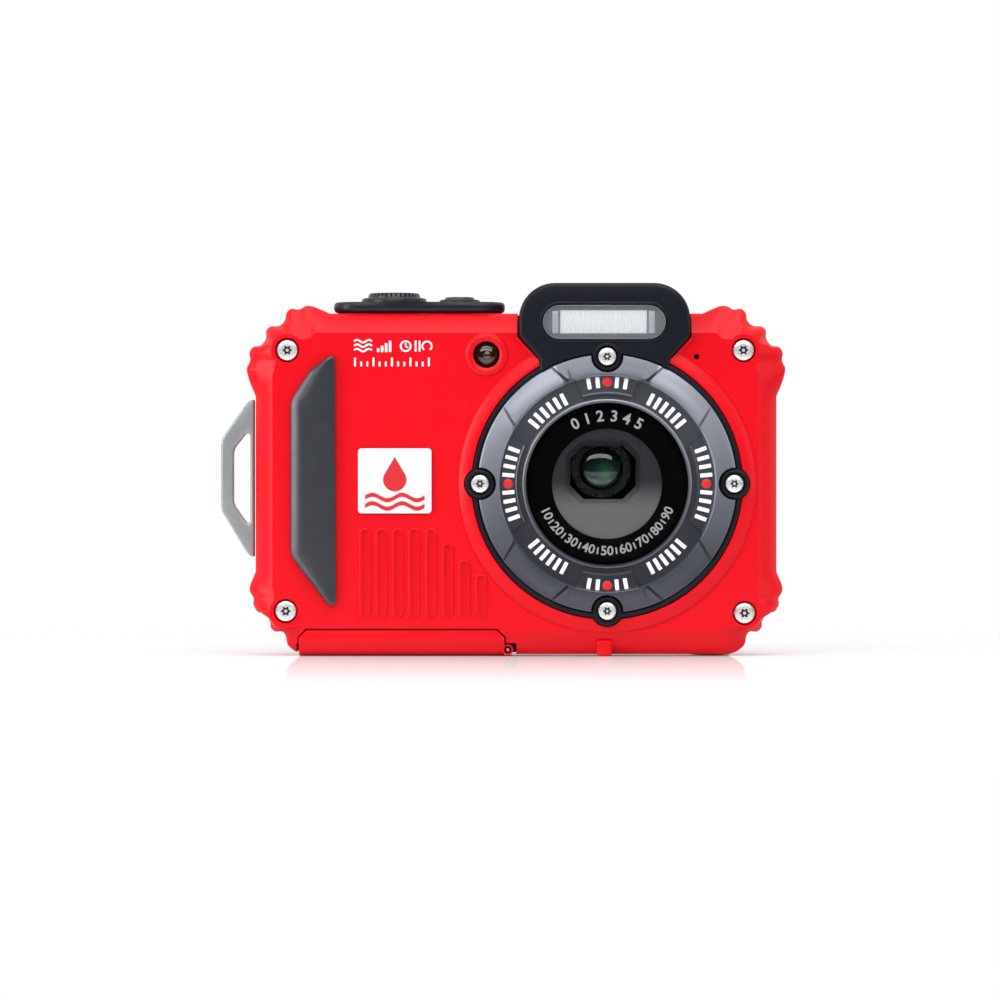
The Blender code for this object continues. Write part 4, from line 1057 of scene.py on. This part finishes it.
def buildDial():
    # Plain scale numbers round the glass, with ticks between them.
    marks = []
    for text, turn in (("0", 118), ("1", 107), ("2", 96), ("3", 84), ("4", 73), ("5", 62)):
        marks.append(aroundPort(addWord("number", text, 3.1), 13.6, turn, 11.2))
    for text, turn in (("10", 206), ("20", 222), ("30", 238), ("40", 254), ("50", 270), ("60", 286),
        ("70", 302), ("80", 318), ("90", 334)):
        marks.append(aroundPort(addWord("number", text, 2.6), 13.55, turn, 11.2, upright=True))
    for turn in (214, 230, 246, 262, 278, 294, 310, 326):
        bar = addTick(12.9, 14.3, turn, 11.24, 0.34)
        marks.append(bar)
    finished(joined("dialNumbers", marks), mainBody, "white_badge", looks["ink"], angle=30)


lens = {"x": 19.8, "z": 37.9}


def buildFrontElement():
    centre = (lens["x"], 0, lens["z"])
    barrel = addTurned("lensBarrel", [
        (4.35, 6.2), (4.4, 6.9), (4.5, 7.1), (4.75, 7.1), (4.8, 6.95), (5.1, 6.95), (5.15, 7.2), (5.4, 7.2),
        (5.45, 7.45), (5.7, 7.45), (5.75, 7.7), (5.95, 7.7), (6.0, 7.6), (6.0, 5.3), (4.35, 5.3)], centre, 96,
        closed=True)
    finished(barrel, mainBody, "black_plastic", looks["barrel"], angle=25)
    dome = [(4.3 * math.sin(t), 5.9 + 1.3 * math.cos(t)) for t in [i * math.pi / 2 / 14 for i in range(15)]]
    glass = addTurned("frontElement", [*dome, (4.3, 5.4), (0, 5.4)], centre, 96)
    finished(glass, mainBody, "coated_lens", looks["coated"], "front_lens_element", angle=40)


buildSurround()
buildRing()
buildTicks()
buildWindow()
buildMask()
buildDial()
buildFrontElement()
print("lens port ready")


def buildFlash():
    clear = addPlate("flashWindow", flashStadium(), -12.45, -11.4)
    roundEdges(clear, 0.35, 3, 60)
    finished(clear, mainBody, "clear_glass", looks["flashClear"], "flash_window")
    bay = addBlock("flashReflector", (10.0, -11.0, 64.9), (30.8, -4.0, 69.8))
    hollow = addLoft("hollow", [
        [(10.7, -12.0, 65.3), (30.1, -12.0, 65.3), (30.1, -12.0, 69.4), (10.7, -12.0, 69.4)],
        [(11.6, -7.2, 65.7), (29.2, -7.2, 65.7), (29.2, -7.2, 69.0), (11.6, -7.2, 69.0)],
        [(12.2, -5.2, 66.6), (28.6, -5.2, 66.6), (28.6, -5.2, 68.1), (12.2, -5.2, 68.1)]])
    cut(bay, hollow)
    finished(bay, mainBody, "bright_reflector", looks["mirror"], "flash_reflector")
    # The lens sheet behind the window, ribbed across with a frame of small steps at its ends.
    sheet = addBlock("flashSheet", (11.5, -11.25, 65.05), (29.0, -11.1, 69.7))
    ribs = [addRod("rib", 0.3, (11.9 + i * 0.62, -11.2, 65.2), (11.9 + i * 0.62, -11.2, 69.55), 12)
        for i in range(28)]
    joinedRibs = joined("ribs", ribs)
    finished(joined("flashSheet", [sheet, joinedRibs]), mainBody, "bright_reflector", looks["sheet"])
    ends = [addBlock("end", (x, -11.3, 65.1), (x + 1.25, -11.08, 69.6)) for x in (9.9, 29.35)]
    for end in ends:
        roundEdges(end, 0.08, 2, 60)
    finished(joined("flashEnds", ends), mainBody, "clear_glass", looks["endBlock"])
    floorPlate = addPlate("flashBezel", flashStadium(0.12), -11.12, -11.04)
    finished(floorPlate, mainBody, "black_plastic", looks["silverPaint"])
    tube = addRod("flashTube", 0.9, (11.4, -7.6, 67.35), (29.4, -7.6, 67.35), 32)
    roundEdges(tube, 0.25, 3, 60)
    finished(tube, mainBody, "flash_tube_glass", looks["flashClear"], "flash_tube")


def buildLamp():
    x, z = -3.34, 60.8
    dome = addTurned("lampLens", [
        (0, 10.45), (0.7, 10.42), (1.35, 10.3), (1.9, 10.08), (2.2, 9.85), (2.3, 9.6), (2.3, 8.9), (0, 8.9)],
        (x, 0, z), 64)
    finished(dome, mainBody, "clear_glass", looks["lampGlass"], "af_lamp_lens", angle=40)
    emitter = addTurned("lampEmitter", [(0, 10.62), (0.5, 10.58), (0.75, 10.45), (0.8, 10.2), (0, 10.2)],
        (x + 0.15, 0, z - 0.1), 32)
    finished(emitter, mainBody, "clear_glass", looks["lampRed"], angle=40)


def gripEdge(z, side):
    # How far the pad reaches to one side at a height.
    crossings = []
    line = grip["outline"] + grip["outline"][:1]
    for (x0, z0), (x1, z1) in zip(line, line[1:]):
        if min(z0, z1) <= z <= max(z0, z1) and z0 != z1:
            crossings.append(x0 + (x1 - x0) * (z - z0) / (z1 - z0))
    return (min if side == "left" else max)(crossings or [-34.5])


def gripHeight(x, z):
    # The pad's section: a quick rise from the left to a soft ridge, then a long fall to the right.
    left, right = gripEdge(z, "left"), gripEdge(z, "right")
    across = min(1.0, max(0.0, (x - left) / max(right - left, 0.4)))
    ridge = grip["ridge"]
    if across < ridge:
        share = 0.30 + 0.70 * math.sin(across / ridge * math.pi / 2) ** 0.9
    else:
        share = 1.0 - 0.62 * ((across - ridge) / (1 - ridge)) ** 1.7
    ends = min(1.0, (z - 10.0) / 14.0, (60.7 - z) / 14.0)
    return share * (0.45 + 0.55 * math.sin(max(ends, 0.02) * math.pi / 2))


def buildGrip():
    line = gripOutline(0.0)
    foot, face = grip["foot"], grip["face"]
    rows = [[(x, foot, z) for x, z in line], [(x, -11.2, z) for x, z in line]]
    for share in (0.985, 0.95, 0.89, 0.80, 0.69, 0.56, 0.42, 0.27, 0.12, 0.02):
        row = []
        for x, z in line:
            newZ = 35.4 + (z - 35.4) * (0.86 + 0.14 * share)
            middle = (gripEdge(newZ, "left") + gripEdge(newZ, "right")) / 2
            oldMiddle = (gripEdge(min(max(z, 10.3), 60.3), "left") + gripEdge(min(max(z, 10.3), 60.3),
                "right")) / 2
            newX = middle + (x - oldMiddle) * share
            row.append((newX, -11.2 + (face + 11.2) * gripHeight(newX, newZ), newZ))
        rows.append(row)
    pad = addLoft("gripPad", rows)
    finished(pad, mainBody, "grip_rubber", looks["grip"], "grip_pad", angle=50)


def buildBadge():
    card = addPlate("badge", rounded(-29.2, 28.8, -14.4, 41.9, 0.7, 6), -10.93, -11.12)
    roundEdges(card, 0.07, 2, 60)
    finished(card, mainBody, "white_badge", looks["white"], "badge", angle=30)
    # A drop over two waves, in the shell's red.
    drop = [(-21.8, 40.2)]
    drop += arc(-21.8, 35.6, 2.35, 35, -215, 26)
    marks = [addPlate("drop", drop, -11.10, -11.19)]
    for base, size in ((32.0, 0.55), (30.3, 0.55)):
        top = [(-27.8 + 12 * i / 48, base + size * math.sin(i / 48 * math.tau * 2) + 0.42) for i in range(49)]
        marks.append(addPlate("wave", top + [(x, z - 0.84) for x, z in top[::-1]], -11.10, -11.19))
    finished(joined("badgeSign", marks), mainBody, "red_shell", looks["redInk"], angle=30)


def buildPictograms():
    # Printed signs above the grip: waves, a thermometer, a stopwatch and bars, with no words.
    depthOut, depthIn = -10.68, -10.56
    marks = []

    def strip(points, width):
        edge = []
        for sign in (1, -1):
            line = points if sign == 1 else points[::-1]
            for i, (x, z) in enumerate(line):
                before, after = line[max(i - 1, 0)], line[min(i + 1, len(line) - 1)]
                dx, dz = after[0] - before[0], after[1] - before[1]
                size = math.hypot(dx, dz)
                edge.append((x - dz / size * width / 2, z + dx / size * width / 2))
        marks.append(addPlate("sign", edge, depthIn, depthOut))

    for base in (61.7, 62.6, 63.5):
        strip([(-30.0 + 3.6 * i / 24, base + 0.26 * math.sin(i / 24 * math.tau * 1.5)) for i in range(25)],
            0.36)
    for i, high in enumerate((0.8, 1.3, 1.8, 2.3)):
        marks.append(addPlate("bar", rounded(-25.4 + i * 0.8, 61.3, -24.9 + i * 0.8, 61.3 + high, 0.12, 3),
            depthIn, depthOut))
    strip(arc(-19.6, 62.5, 1.0, 90, 449, 36), 0.34)
    strip([(-19.6, 62.5), (-19.6, 63.15)], 0.28)
    strip([(-19.6, 62.5), (-19.1, 62.2)], 0.28)
    strip([(-17.6 + 0.0, 61.4), (-17.6, 63.6)], 0.36)
    strip([(-16.8, 61.4), (-16.8, 63.6)], 0.36)
    strip(arc(-15.3, 62.5, 0.95, -50, 230, 24), 0.34)
    for i in range(13):
        long = i % 3 == 0
        marks.append(addPlate("scale", rounded(-30.0 + i * 1.24, 58.4, -29.62 + i * 1.24,
            60.2 if long else 59.4, 0.12, 3), depthIn, depthOut))
    finished(joined("frontSigns", marks), mainBody, "white_badge", looks["ink"], angle=30)


bracket = {"front": -5.6, "back": -2.0}


def buildBracket():
    inner, outer = -50.35, -57.1
    line = [(inner, 51.9), (-51.2, 51.7), (-51.9, 51.1), (-56.3, 44.9), (-56.9, 43.8), (outer, 42.6),
            (outer, 30.4), (-56.9, 29.2), (-56.3, 28.2), (-52.1, 21.2), (-51.3, 20.3), (inner, 19.9)]
    slot = [(-51.15, 44.6), (-51.5, 45.0), (-52.1, 44.9), (-54.2, 42.2), (-54.55, 41.2), (-54.55, 31.2),
            (-54.2, 30.2), (-52.0, 27.0), (-51.5, 26.7), (-51.15, 27.0)]
    plateEye = addPlate("strapEye", line, bracket["front"], bracket["back"])
    cut(plateEye, addPlate("slot", slot, -20, 20))
    roundEdges(plateEye, 0.42, 3, 60)
    finished(plateEye, mainBody, "bracket_metal", looks["bracket"], "strap_bracket", angle=30)


def starSocket(x, z, radius, inner, count=6):
    points = []
    for i in range(count * 8):
        turn = math.tau * i / (count * 8)
        wave = 0.5 + 0.5 * math.cos(count * turn)
        size = inner + (radius - inner) * wave ** 1.5
        points.append((x + size * math.cos(turn), z + size * math.sin(turn)))
    return points


def buildScrew(name, where, radius, head, foot, shaft, shaftEnd, node):
    x, z = where
    h = -head
    body = addTurned(name, [
        (0, h), (radius * 0.52, h), (radius * 0.80, h - 0.05), (radius * 0.94, h - 0.16), (radius, h - 0.32),
        (radius, -foot), (shaft, -foot), (shaft, -shaftEnd + 0.4), (shaft - 0.3, -shaftEnd), (0, -shaftEnd)],
        (x, 0, z), 56)
    socket = addPlate("socket", starSocket(x, z, radius * 0.50, radius * 0.34), head - 1,
        head + min(0.5, (foot - head) * 0.72))
    cut(body, socket)
    pin = addTurned("pin", [(0, h - 0.12), (radius * 0.12, h - 0.12), (radius * 0.15, h - 0.2),
        (radius * 0.15, h - 0.55), (0, h - 0.55)], (x, 0, z), 20)
    weld(body, pin)
    roundEdges(body, 0.035, 2, 55)
    return finished(body, mainBody, "screw_steel", looks["steel"], node, angle=30)


buildFlash()
buildLamp()
buildGrip()
buildBadge()
buildPictograms()
buildBracket()
for number, where in enumerate(body["screws"], 1):
    end = boxMm(f"front_screw_{number}")[1][1]
    buildScrew(f"cornerScrew{number}", where, 2.1, -10.3, -9.0, 1.0, end, f"front_screw_{number}")
for number, where in enumerate(ringScrews, 1):
    end = boxMm(f"ring_screw_{number}")[1][1]
    buildScrew(f"ringScrew{number}", where, 1.8, -12.9, -12.3, 0.8, end, f"ring_screw_{number}")
# Painted shade: flat dark star plugs on the sockets' floors stand in for the shade deep in the screws' sockets.
socketShadePlugs = [addPlate("floor", starSocket(sx, sz, size * 0.47, size * 0.32), level + 0.02, level - 0.05)
          for places, size, level in ((body["screws"], 2.1, -9.8), (ringScrews, 1.8, -12.47)) for sx,
          sz in places]
finished(joined("screwSocketShade", socketShadePlugs), mainBody, "black_plastic", looks["housing"])
print("front trim ready")


controls = {
    "middleY": -1.2, "plate": (-34.3, -7.6, 0.4, 5.2), "plateFoot": 69.5, "plateTop": 71.6,
    "shutterX": -22.1, "shutterRadius": 5.4, "powerX": -8.8, "powerRadius": 3.05,
    "foot": 70.4, "teeth": 34,
}


def turnedUp(name, profile, x, steps=96):
    return addTurned(name, profile, (x, controls["middleY"], 0), steps, axis="Z")


def buildTopPlate():
    c = controls
    left, front, right, back = c["plate"]
    cover = addPlate("topPlate", rounded(left, front, right, back, 5.0, 14), c["plateFoot"], c["plateTop"], "Z")
    roundEdges(cover, 0.75, 4, 60)
    collars = [
        turnedUp("shutterCollar", [(0, 70.8), (0, 72.2), (5.75, 72.5), (6.15, 72.5), (6.45, 72.35),
        (6.6, 72.05), (6.6, 71.5), (6.6, 70.8)],
                 c["shutterX"], 112),
        turnedUp("powerCollar", [(0, 70.8), (0, 72.0), (3.5, 72.2), (3.85, 72.18), (4.08, 72.02),
        (4.2, 71.75), (4.2, 70.8)], c["powerX"], 96),
    ]
    cover = weld(cover, *collars)
    y = c["middleY"]
    cut(cover, addRod("shutterHole", c["shutterRadius"] + 0.3, (c["shutterX"], y, 50), (c["shutterX"], y, 90),
        112),
        addRod("powerHole", c["powerRadius"] + 0.3, (c["powerX"], y, 50), (c["powerX"], y, 90), 96))
    finished(cover, mainBody, "black_plastic", looks["black"], "top_plate", angle=30)


def buildShutter():
    # A dished button whose rim is cut into crown teeth.
    c = controls
    x, y, r = c["shutterX"], c["middleY"], c["shutterRadius"]
    button = turnedUp("shutterButton", [
        (0, 73.02), (2.2, 73.06), (3.7, 73.2), (4.15, 73.36), (4.5, 73.48), (4.72, 73.5), (4.95, 73.44),
        (5.15, 73.2), (5.32, 72.7), (r, 72.2), (r, 70.4), (0, 70.4)], x, 128)
    tooth = addPlate("gap", [(-0.06, 72.5), (0.06, 72.5), (0.42, 74.2), (-0.42, 74.2)], 4.5, 5.8, "Y")
    gaps = []
    for i in range(c["teeth"]):
        twin = copied(tooth)
        cos, sin = math.cos(math.tau * i / c["teeth"]), math.sin(math.tau * i / c["teeth"])
        for vertex in twin.data.vertices:
            across, out = vertex.co.x, vertex.co.y
            vertex.co = (mm(x) + out * cos - across * sin, mm(y) + out * sin + across * cos, vertex.co.z)
        gaps.append(twin)
    bpy.data.objects.remove(tooth, do_unlink=True)
    cut(button, facingOut(joined("gaps", gaps)))
    finished(button, "shutter_button", "black_plastic", looks["keys"], "shutter_button", angle=32)


def buildPower():
    c = controls
    x, r = c["powerX"], c["powerRadius"]
    button = turnedUp("powerButton", [
        (0, 72.52), (1.6, 72.55), (2.2, 72.6), (2.55, 72.7), (2.8, 72.68), (2.98, 72.5), (r, 72.2), (r, 70.4),
        (0, 70.4)], x, 96)
    finished(button, "power_button", "black_plastic", looks["keys"], "power_button", angle=32)
    # The stand-by sign: an open ring and a stroke.
    y = c["middleY"]
    ringSign = [(x + q * 1.15, y + w * 1.15) for q, w in arc(0, 0, 1, 125, 415, 30)] + [
        (x + q * 0.87, y + w * 0.87) for q, w in arc(0, 0, 1, 125, 415, 30)[::-1]]
    signs = [addPlate("ringSign", ringSign, 72.5, 72.62, "Z"),
             addPlate("stroke", rounded(x - 0.14, y + 0.25, x + 0.14, y + 1.35, 0.13, 4), 72.5, 72.62, "Z")]
    finished(joined("powerSign", signs), "power_button", "white_badge", looks["ink"], angle=30)


door = {"left": -41.2, "right": 0.3, "lipTop": 5.3, "front": -10.3, "back": 4.6, "hingeX": 1.0, "hingeZ": 1.25}


def buildDoor():
    d = door
    section = [(d["back"], 0.1), (d["back"], 1.9), (-8.2, 1.9), (-8.2, d["lipTop"]), (-10.15, d["lipTop"]),
               (d["front"], 5.15), (d["front"], 3.7), (-10.2, 2.9), (-9.85, 2.0), (-9.2, 1.15), (-8.3, 0.5),
               (-7.2, 0.15), (-6.6, 0.1)]
    flap = addPlate("batteryDoor", section, d["left"], d["right"], "X")
    barrel = addRod("barrel", 1.1, (d["hingeX"], -9.0, d["hingeZ"]), (d["hingeX"], 4.2, d["hingeZ"]), 40)
    weld(flap, barrel)
    corners = []
    for side, x in ((1, d["left"]), (-1, d["right"])):
        corners.append(addPlate("corner", [(x - side, 2.7), (x + side * 2.7, 6.4), (x - side, 6.4)], -12, -7))
    cut(flap, *corners)
    cut(flap, addRod("bore", 0.75, (d["hingeX"], -20, d["hingeZ"]), (d["hingeX"], 20, d["hingeZ"]), 24),
        addPlate("latchSlot", rounded(-36.4, -3.3, -28.6, 1.3, 0.7), -10, 10, "Z"))
    fingerCuts = [addBlock("finger", (-22 + i * 1.5, -3.6, -0.4), (-21.3 + i * 1.5, 1.6, 0.35))
        for i in range(6)]
    cut(flap, *fingerCuts)
    roundEdges(flap, 0.12, 2, 40)
    finished(flap, "battery_door", "red_shell", looks["red"], "battery_door", angle=30)
    pin = addTurned("hingePin", [(0, 8.6), (0.3, 8.6), (0.45, 8.45), (0.45, -4.05), (0.3, -4.2), (0, -4.2)],
        (d["hingeX"], 0, d["hingeZ"]), 24)
    finished(pin, mainBody, "screw_steel", looks["rodSteel"], "door_hinge_pin")


def buildLatch():
    knob = addBlock("doorLatch", (-36.1, -3.0, 0.2), (-31.1, 1.0, 2.6))
    ribs = [addBlock("rib", (-35.3 + i * 0.8, -2.6, -1), (-34.9 + i * 0.8, 0.6, 0.55)) for i in range(5)]
    plateIn = addBlock("latchPlate", (-37.0, -4.0, 2.2), (-30.2, 2.0, 3.0))
    roundEdges(knob, 0.3, 3, 60)
    weld(knob, plateIn)
    cut(knob, *ribs)
    finished(knob, "door_latch", "black_plastic", looks["keys"], "door_latch", angle=30)


def buildSocket():
    low, high = boxMm("tripod_socket")
    x, y = (low[0] + high[0]) / 2, (low[1] + high[1]) / 2
    nut = addTurned("tripodSocket", [
        (3.15, low[2]), (3.9, low[2]), (4.2, low[2] + 0.3), (4.2, high[2]), (0, high[2]), (0, high[2] - 1.0),
        (2.7, high[2] - 1.2), *[point for i in range(8) for point in ((2.7, high[2] - 1.4 - i * 0.5),
        (2.95, high[2] - 1.65 - i * 0.5)) if high[2] - 1.65 - i * 0.5 > low[2] + 0.7],
        (2.7, low[2] + 0.45)], (x, y, 0), 72, axis="Z", closed=True)
    finished(nut, mainBody, "brass", looks["brass"], "tripod_socket", angle=30)


buildTopPlate()
buildShutter()
buildPower()
buildDoor()
buildLatch()
buildSocket()
print("top and base ready")


def buildScreen():
    place = screenPlace
    pane = addPlate("screenWindow", rounded(place["left"], place["base"], place["right"], place["top"], 0.8),
        13.0, 11.5)
    roundEdges(pane, 0.3, 3, 60)
    finished(pane, mainBody, "clear_glass", looks["screen"], "lcd_window")
    x0, z0, x1, z1 = -7.3, 14.2, 48.3, 55.8
    sheet = addPlate("screenPanel", rounded(x0, z0, x1, z1, 0.3), 11.1, 9.6)
    roundEdges(sheet, 0.15, 2, 60)
    finished(sheet, mainBody, "dark_wrap", looks["panel"], "lcd_panel")
    border = addPlate("screenBorder", rounded(x0 + 1.0, z0 + 1.0, x1 - 1.0, z1 - 1.0, 0.4), 13.02, 12.96)
    finished(border, mainBody, "clear_glass", looks["panel"])


def keySign(name, x, z, face):
    # Plain printed signs that any maker uses.
    out, back = face + 0.05, face - 0.1

    def plate(points):
        return addPlate("sign", points, back, out)

    signs = {
        "tele_key": lambda: [plate(rounded(x - 1.3, z - 0.2, x + 1.3, z + 0.2, 0.15, 3)),
            plate(rounded(x - 0.2, z - 1.3, x + 0.2, z + 1.3, 0.15, 3))],
        "wide_key": lambda: [plate(rounded(x - 1.3, z - 0.2, x + 1.3, z + 0.2, 0.15, 3))],
        "record_key": lambda: [plate(arc(x, z, 1.15, 0, 360, 32)[:-1])],
        "play_key": lambda: [plate([(x + 0.9, z - 1.1), (x + 0.9, z + 1.1), (x - 1.1, z)])],
        "menu_key": lambda: [plate(rounded(x - 1.3, z + d - 0.16, x + 1.3, z + d + 0.16, 0.12, 3))
            for d in (-0.8, 0.0, 0.8)],
        "delete_key": lambda: [plate([(x - 0.8, z + 0.6), (x - 0.6, z - 1.1), (x + 0.6, z - 1.1),
            (x + 0.8, z + 0.6)]),
                               plate(rounded(x - 1.1, z + 0.8, x + 1.1, z + 1.1, 0.12, 3))],
    }
    return signs[name]() if name in signs else []


def buildKeys():
    for name, (x, z, width, high) in keyPlaces.items():
        low, top = boxMm(name)
        foot, face = low[1], top[1]
        plain = name.replace("_key", "Key").replace("_pad", "Pad")
        if name in ("nav_pad", "ok_key"):
            r = width / 2
            profile = ([(0, -face + 0.25), (2.6, -face + 0.1), (r - 0.5, -face), (r - 0.12, -face + 0.12),
                (r, -face + 0.45), (r, -foot), (0, -foot)]
                       if name == "ok_key" else
                       [(4.0, -face + 0.75), (4.3, -face + 0.5), (6.2, -face + 0.15), (7.6, -face),
                        (8.4, -face + 0.08), (8.85, -face + 0.4), (r, -face + 0.8), (r, -10.55),
                        (r + 0.8, -10.55), (r + 0.8, -foot), (4.0, -foot)])
            key = addTurned(plain, profile, (x, 0, z), 128, closed=name == "nav_pad")
        else:
            w, h = width / 2, high / 2
            key = addPlate(plain, rounded(x - w, z - h, x + w, z + h, h - 0.05, 12), foot, face)
            roundEdges(key, 0.4, 4, 60)
            weld(key, addPlate("flange", rounded(x - w - 0.8, z - h - 0.8, x + w + 0.8, z + h + 0.8, h + 0.75,
                10), foot, 10.55))
        if name == "delete_key" or name in ("tele_key", "wide_key", "play_key", "menu_key"):
            w, h = width / 2 - 0.7, high / 2 - 0.7
            dish = addPlate("dish", rounded(x - w, z - h, x + w, z + h, h - 0.05, 12), face - 0.18, face + 1)
            roundEdges(dish, 0.15, 2, 60)
            cut(key, dish)
            face -= 0.18
        finished(key, name, "black_plastic", looks["keys"], name, angle=35)
        marks = keySign(name, x, z, face)
        if marks:
            red = name == "record_key"
            finished(joined(plain + "Sign", marks), name, "red_shell" if red else "white_badge",
                looks["redInk" if red else "ink"])
    # Arrows on the pad, one made and three turned copies.
    x, z = -26, 33
    arrow = addPlate("arrow", [(x + 6.0, z - 0.75), (x + 6.9, z), (x + 6.0, z + 0.75)], 13.2, 13.44)
    arrows = [copied(arrow, turn, (x, z)) for turn in (0, 90, 180, 270)]
    bpy.data.objects.remove(arrow, do_unlink=True)
    finished(joined("navPadSigns", arrows), "nav_pad", "white_badge", looks["ink"])


def buildThumbRest():
    rest = addPlate("thumbRest", rounded(-45.6, 24, -38.4, 44, 3.0, 10), 13.0, 13.6)
    roundEdges(rest, 0.25, 3, 60)
    ribs = [addPlate("rib", rounded(-44.6, 26.0 + i * 2.2, -39.4, 26.9 + i * 2.2, 0.42, 6), 13.4, 13.84)
        for i in range(8)]
    for rib in ribs:
        roundEdges(rib, 0.15, 2, 60)
    weld(rest, *ribs)
    finished(rest, mainBody, "grip_rubber", looks["rubber"], "thumb_rest", angle=35)


buildScreen()
buildKeys()
buildThumbRest()
print("back ready")

# Inner pieces keep their CAD shapes and get real finishes.
innerFinishes = {
    "main_seal": "seal", "door_seal": "seal", "main_board": "board", "battery": "cell",
        "battery_bay": "black", "card_slot": "plated",
    "memory_card": "cell", "usb_port": "plated", "speaker": "barrel", "flash_capacitor": "wrap",
        "prism": "prism", "lens_housing": "housing",
    "image_sensor": "sensor", "guide_rod_left": "rodSteel", "guide_rod_right": "rodSteel",
        "zoom_group": "housing", "focus_group": "housing",
    "zoom_motor": "plated", "lead_screw": "thread",
}
for node, finish in innerFinishes.items():
    inner = bpy.data.objects[node]
    inner.data.materials.clear()
    inner.data.materials.append(looks[finish])
print("inner pieces ready:", len(innerFinishes))


studio = {
    "lens": 180.0, "across": 201.5, "aimX": -0.6, "aimZ": 31.5, "front": -10.6,
    "world": (1.0, 1.0, 1.0), "dim": 0.05, "floor": (0.80, 0.80, 0.81), "top": 4.4, "frontTop": 2.6,
        "left": 3.0, "right": 1.0,
}


def areaLight(name, place, aim, size, power, colour=(1, 1, 1)):
    # Size is across and up in metres, power in watts.
    onlySelect()
    turn = (Vector(aim) - Vector(place)).to_track_quat("-Z", "Y").to_euler()
    bpy.ops.object.light_add(type="AREA", location=place, rotation=turn)
    light = bpy.context.active_object
    light.name = name
    light.data.shape = "RECTANGLE"
    light.data.size, light.data.size_y = size
    light.data.energy = power
    light.data.color = colour
    light.visible_camera = False
    return light


def buildStudio(settings):
    scene = bpy.context.scene
    distance = mm(settings["across"]) * settings["lens"] / 36
    onlySelect()
    bpy.ops.object.camera_add(
        location=(mm(settings["aimX"]), mm(settings["front"]) - distance, mm(settings["aimZ"])),
        rotation=(math.pi / 2, 0, 0))
    camera = bpy.context.active_object
    camera.name = "photoCamera"
    camera.data.lens = settings["lens"]
    camera.data.sensor_width = 36
    camera.data.clip_start = 0.01
    scene.camera = camera
    scene.view_settings.view_transform = "Standard"
    scene.view_settings.look = "None"
    scene.world = paleWorld(settings)
    areaLight("topSoftbox", (0.05, -0.45, 0.70), (0, 0, 0.04), (0.9, 0.5), settings["top"])
    areaLight("frontSoftbox", (-0.05, -0.88, 0.48), (0, 0, 0.04), (1.1, 0.22), settings["frontTop"])
    areaLight("leftSoftbox", (-0.65, -0.36, 0.22), (0, 0, 0.035), (0.22, 0.6), settings["left"])
    areaLight("rightSoftbox", (0.75, -0.40, 0.25), (0, 0, 0.035), (0.25, 0.6), settings["right"])


def paleWorld(settings):
    # White behind the camera's subject and above it, dim where the glossy front looks.
    world = bpy.data.worlds.new("paleStudio")
    world.use_nodes = True
    sky = Nodes(world.node_tree)
    where = sky.node("ShaderNodeTexCoord", out="Generated")
    depth = Wire(sky, sky.node("ShaderNodeSeparateXYZ", {}, {0: where}).socket.node.outputs[1])
    height = Wire(sky, sky.node("ShaderNodeSeparateXYZ", {}, {0: where}).socket.node.outputs[2])
    behind = sky.node("ShaderNodeMapRange", {"interpolation_type": "SMOOTHSTEP"},
        {0: depth + height * 0.35, 1: -0.35, 2: 0.25, 3: settings["dim"], 4: 1.0})
    seen = sky.node("ShaderNodeLightPath", out="Is Camera Ray")
    power = sky.node("ShaderNodeMath", {"operation": "MAXIMUM"}, {0: behind, 1: seen})
    background = world.node_tree.nodes["Background"]
    background.inputs["Color"].default_value = (*settings["world"], 1)
    sky.feed(background.inputs["Strength"], power)
    return world


def buildFloor(settings):
    onlySelect()
    bpy.ops.mesh.primitive_plane_add(size=6.0, location=(0, 0, 0))
    floor = named("paleFloor")
    bpy.ops.object.transform_apply(location=True, rotation=True, scale=True)
    look = Look("paleFloor", Roughness=0.9, Specular_IOR_Level=0.0)
    soft = look.noise(30.0, 2.0)
    look.set(Base_Color=look.blend(soft, tint(settings["floor"], 0.985), settings["floor"]))
    depth = look.calc("ABSOLUTE", Wire(look, look.node("ShaderNodeSeparateXYZ", {},
        {0: look.place}).socket.node.outputs[1]) * 1000)
    fade = look.node("ShaderNodeMapRange", {"interpolation_type": "SMOOTHSTEP"},
        {0: depth, 1: -20.0, 2: 330.0, 3: 0.42, 4: 0.0})
    shine = look.node("ShaderNodeBsdfGlossy", {}, {"Color": (1, 1, 1, 1), "Roughness": 0.04})
    near = look.node("ShaderNodeMixShader", {}, {0: fade, 1: Wire(look, look.shader.outputs[0]), 2: shine})
    moved = look.node("ShaderNodeMapping", {}, {"Vector": look.place, "Location": (0, 0.12, 0)})
    reach = look.node("ShaderNodeVectorMath", {"operation": "LENGTH"}, {0: moved}, out=1)
    away = look.node("ShaderNodeMapRange", {"interpolation_type": "SMOOTHSTEP"},
        {0: reach, 1: 0.10, 2: 0.36, 3: 0.0, 4: 1.0})
    clear = look.node("ShaderNodeBsdfTransparent")
    mix = look.node("ShaderNodeMixShader", {}, {0: away, 1: near, 2: clear})
    look.tree.links.new(mix.socket, look.tree.nodes["Material Output"].inputs["Surface"])
    floor.data.materials.append(look.material)
    return floor


buildStudio(studio)
buildFloor(studio)
print("studio ready")
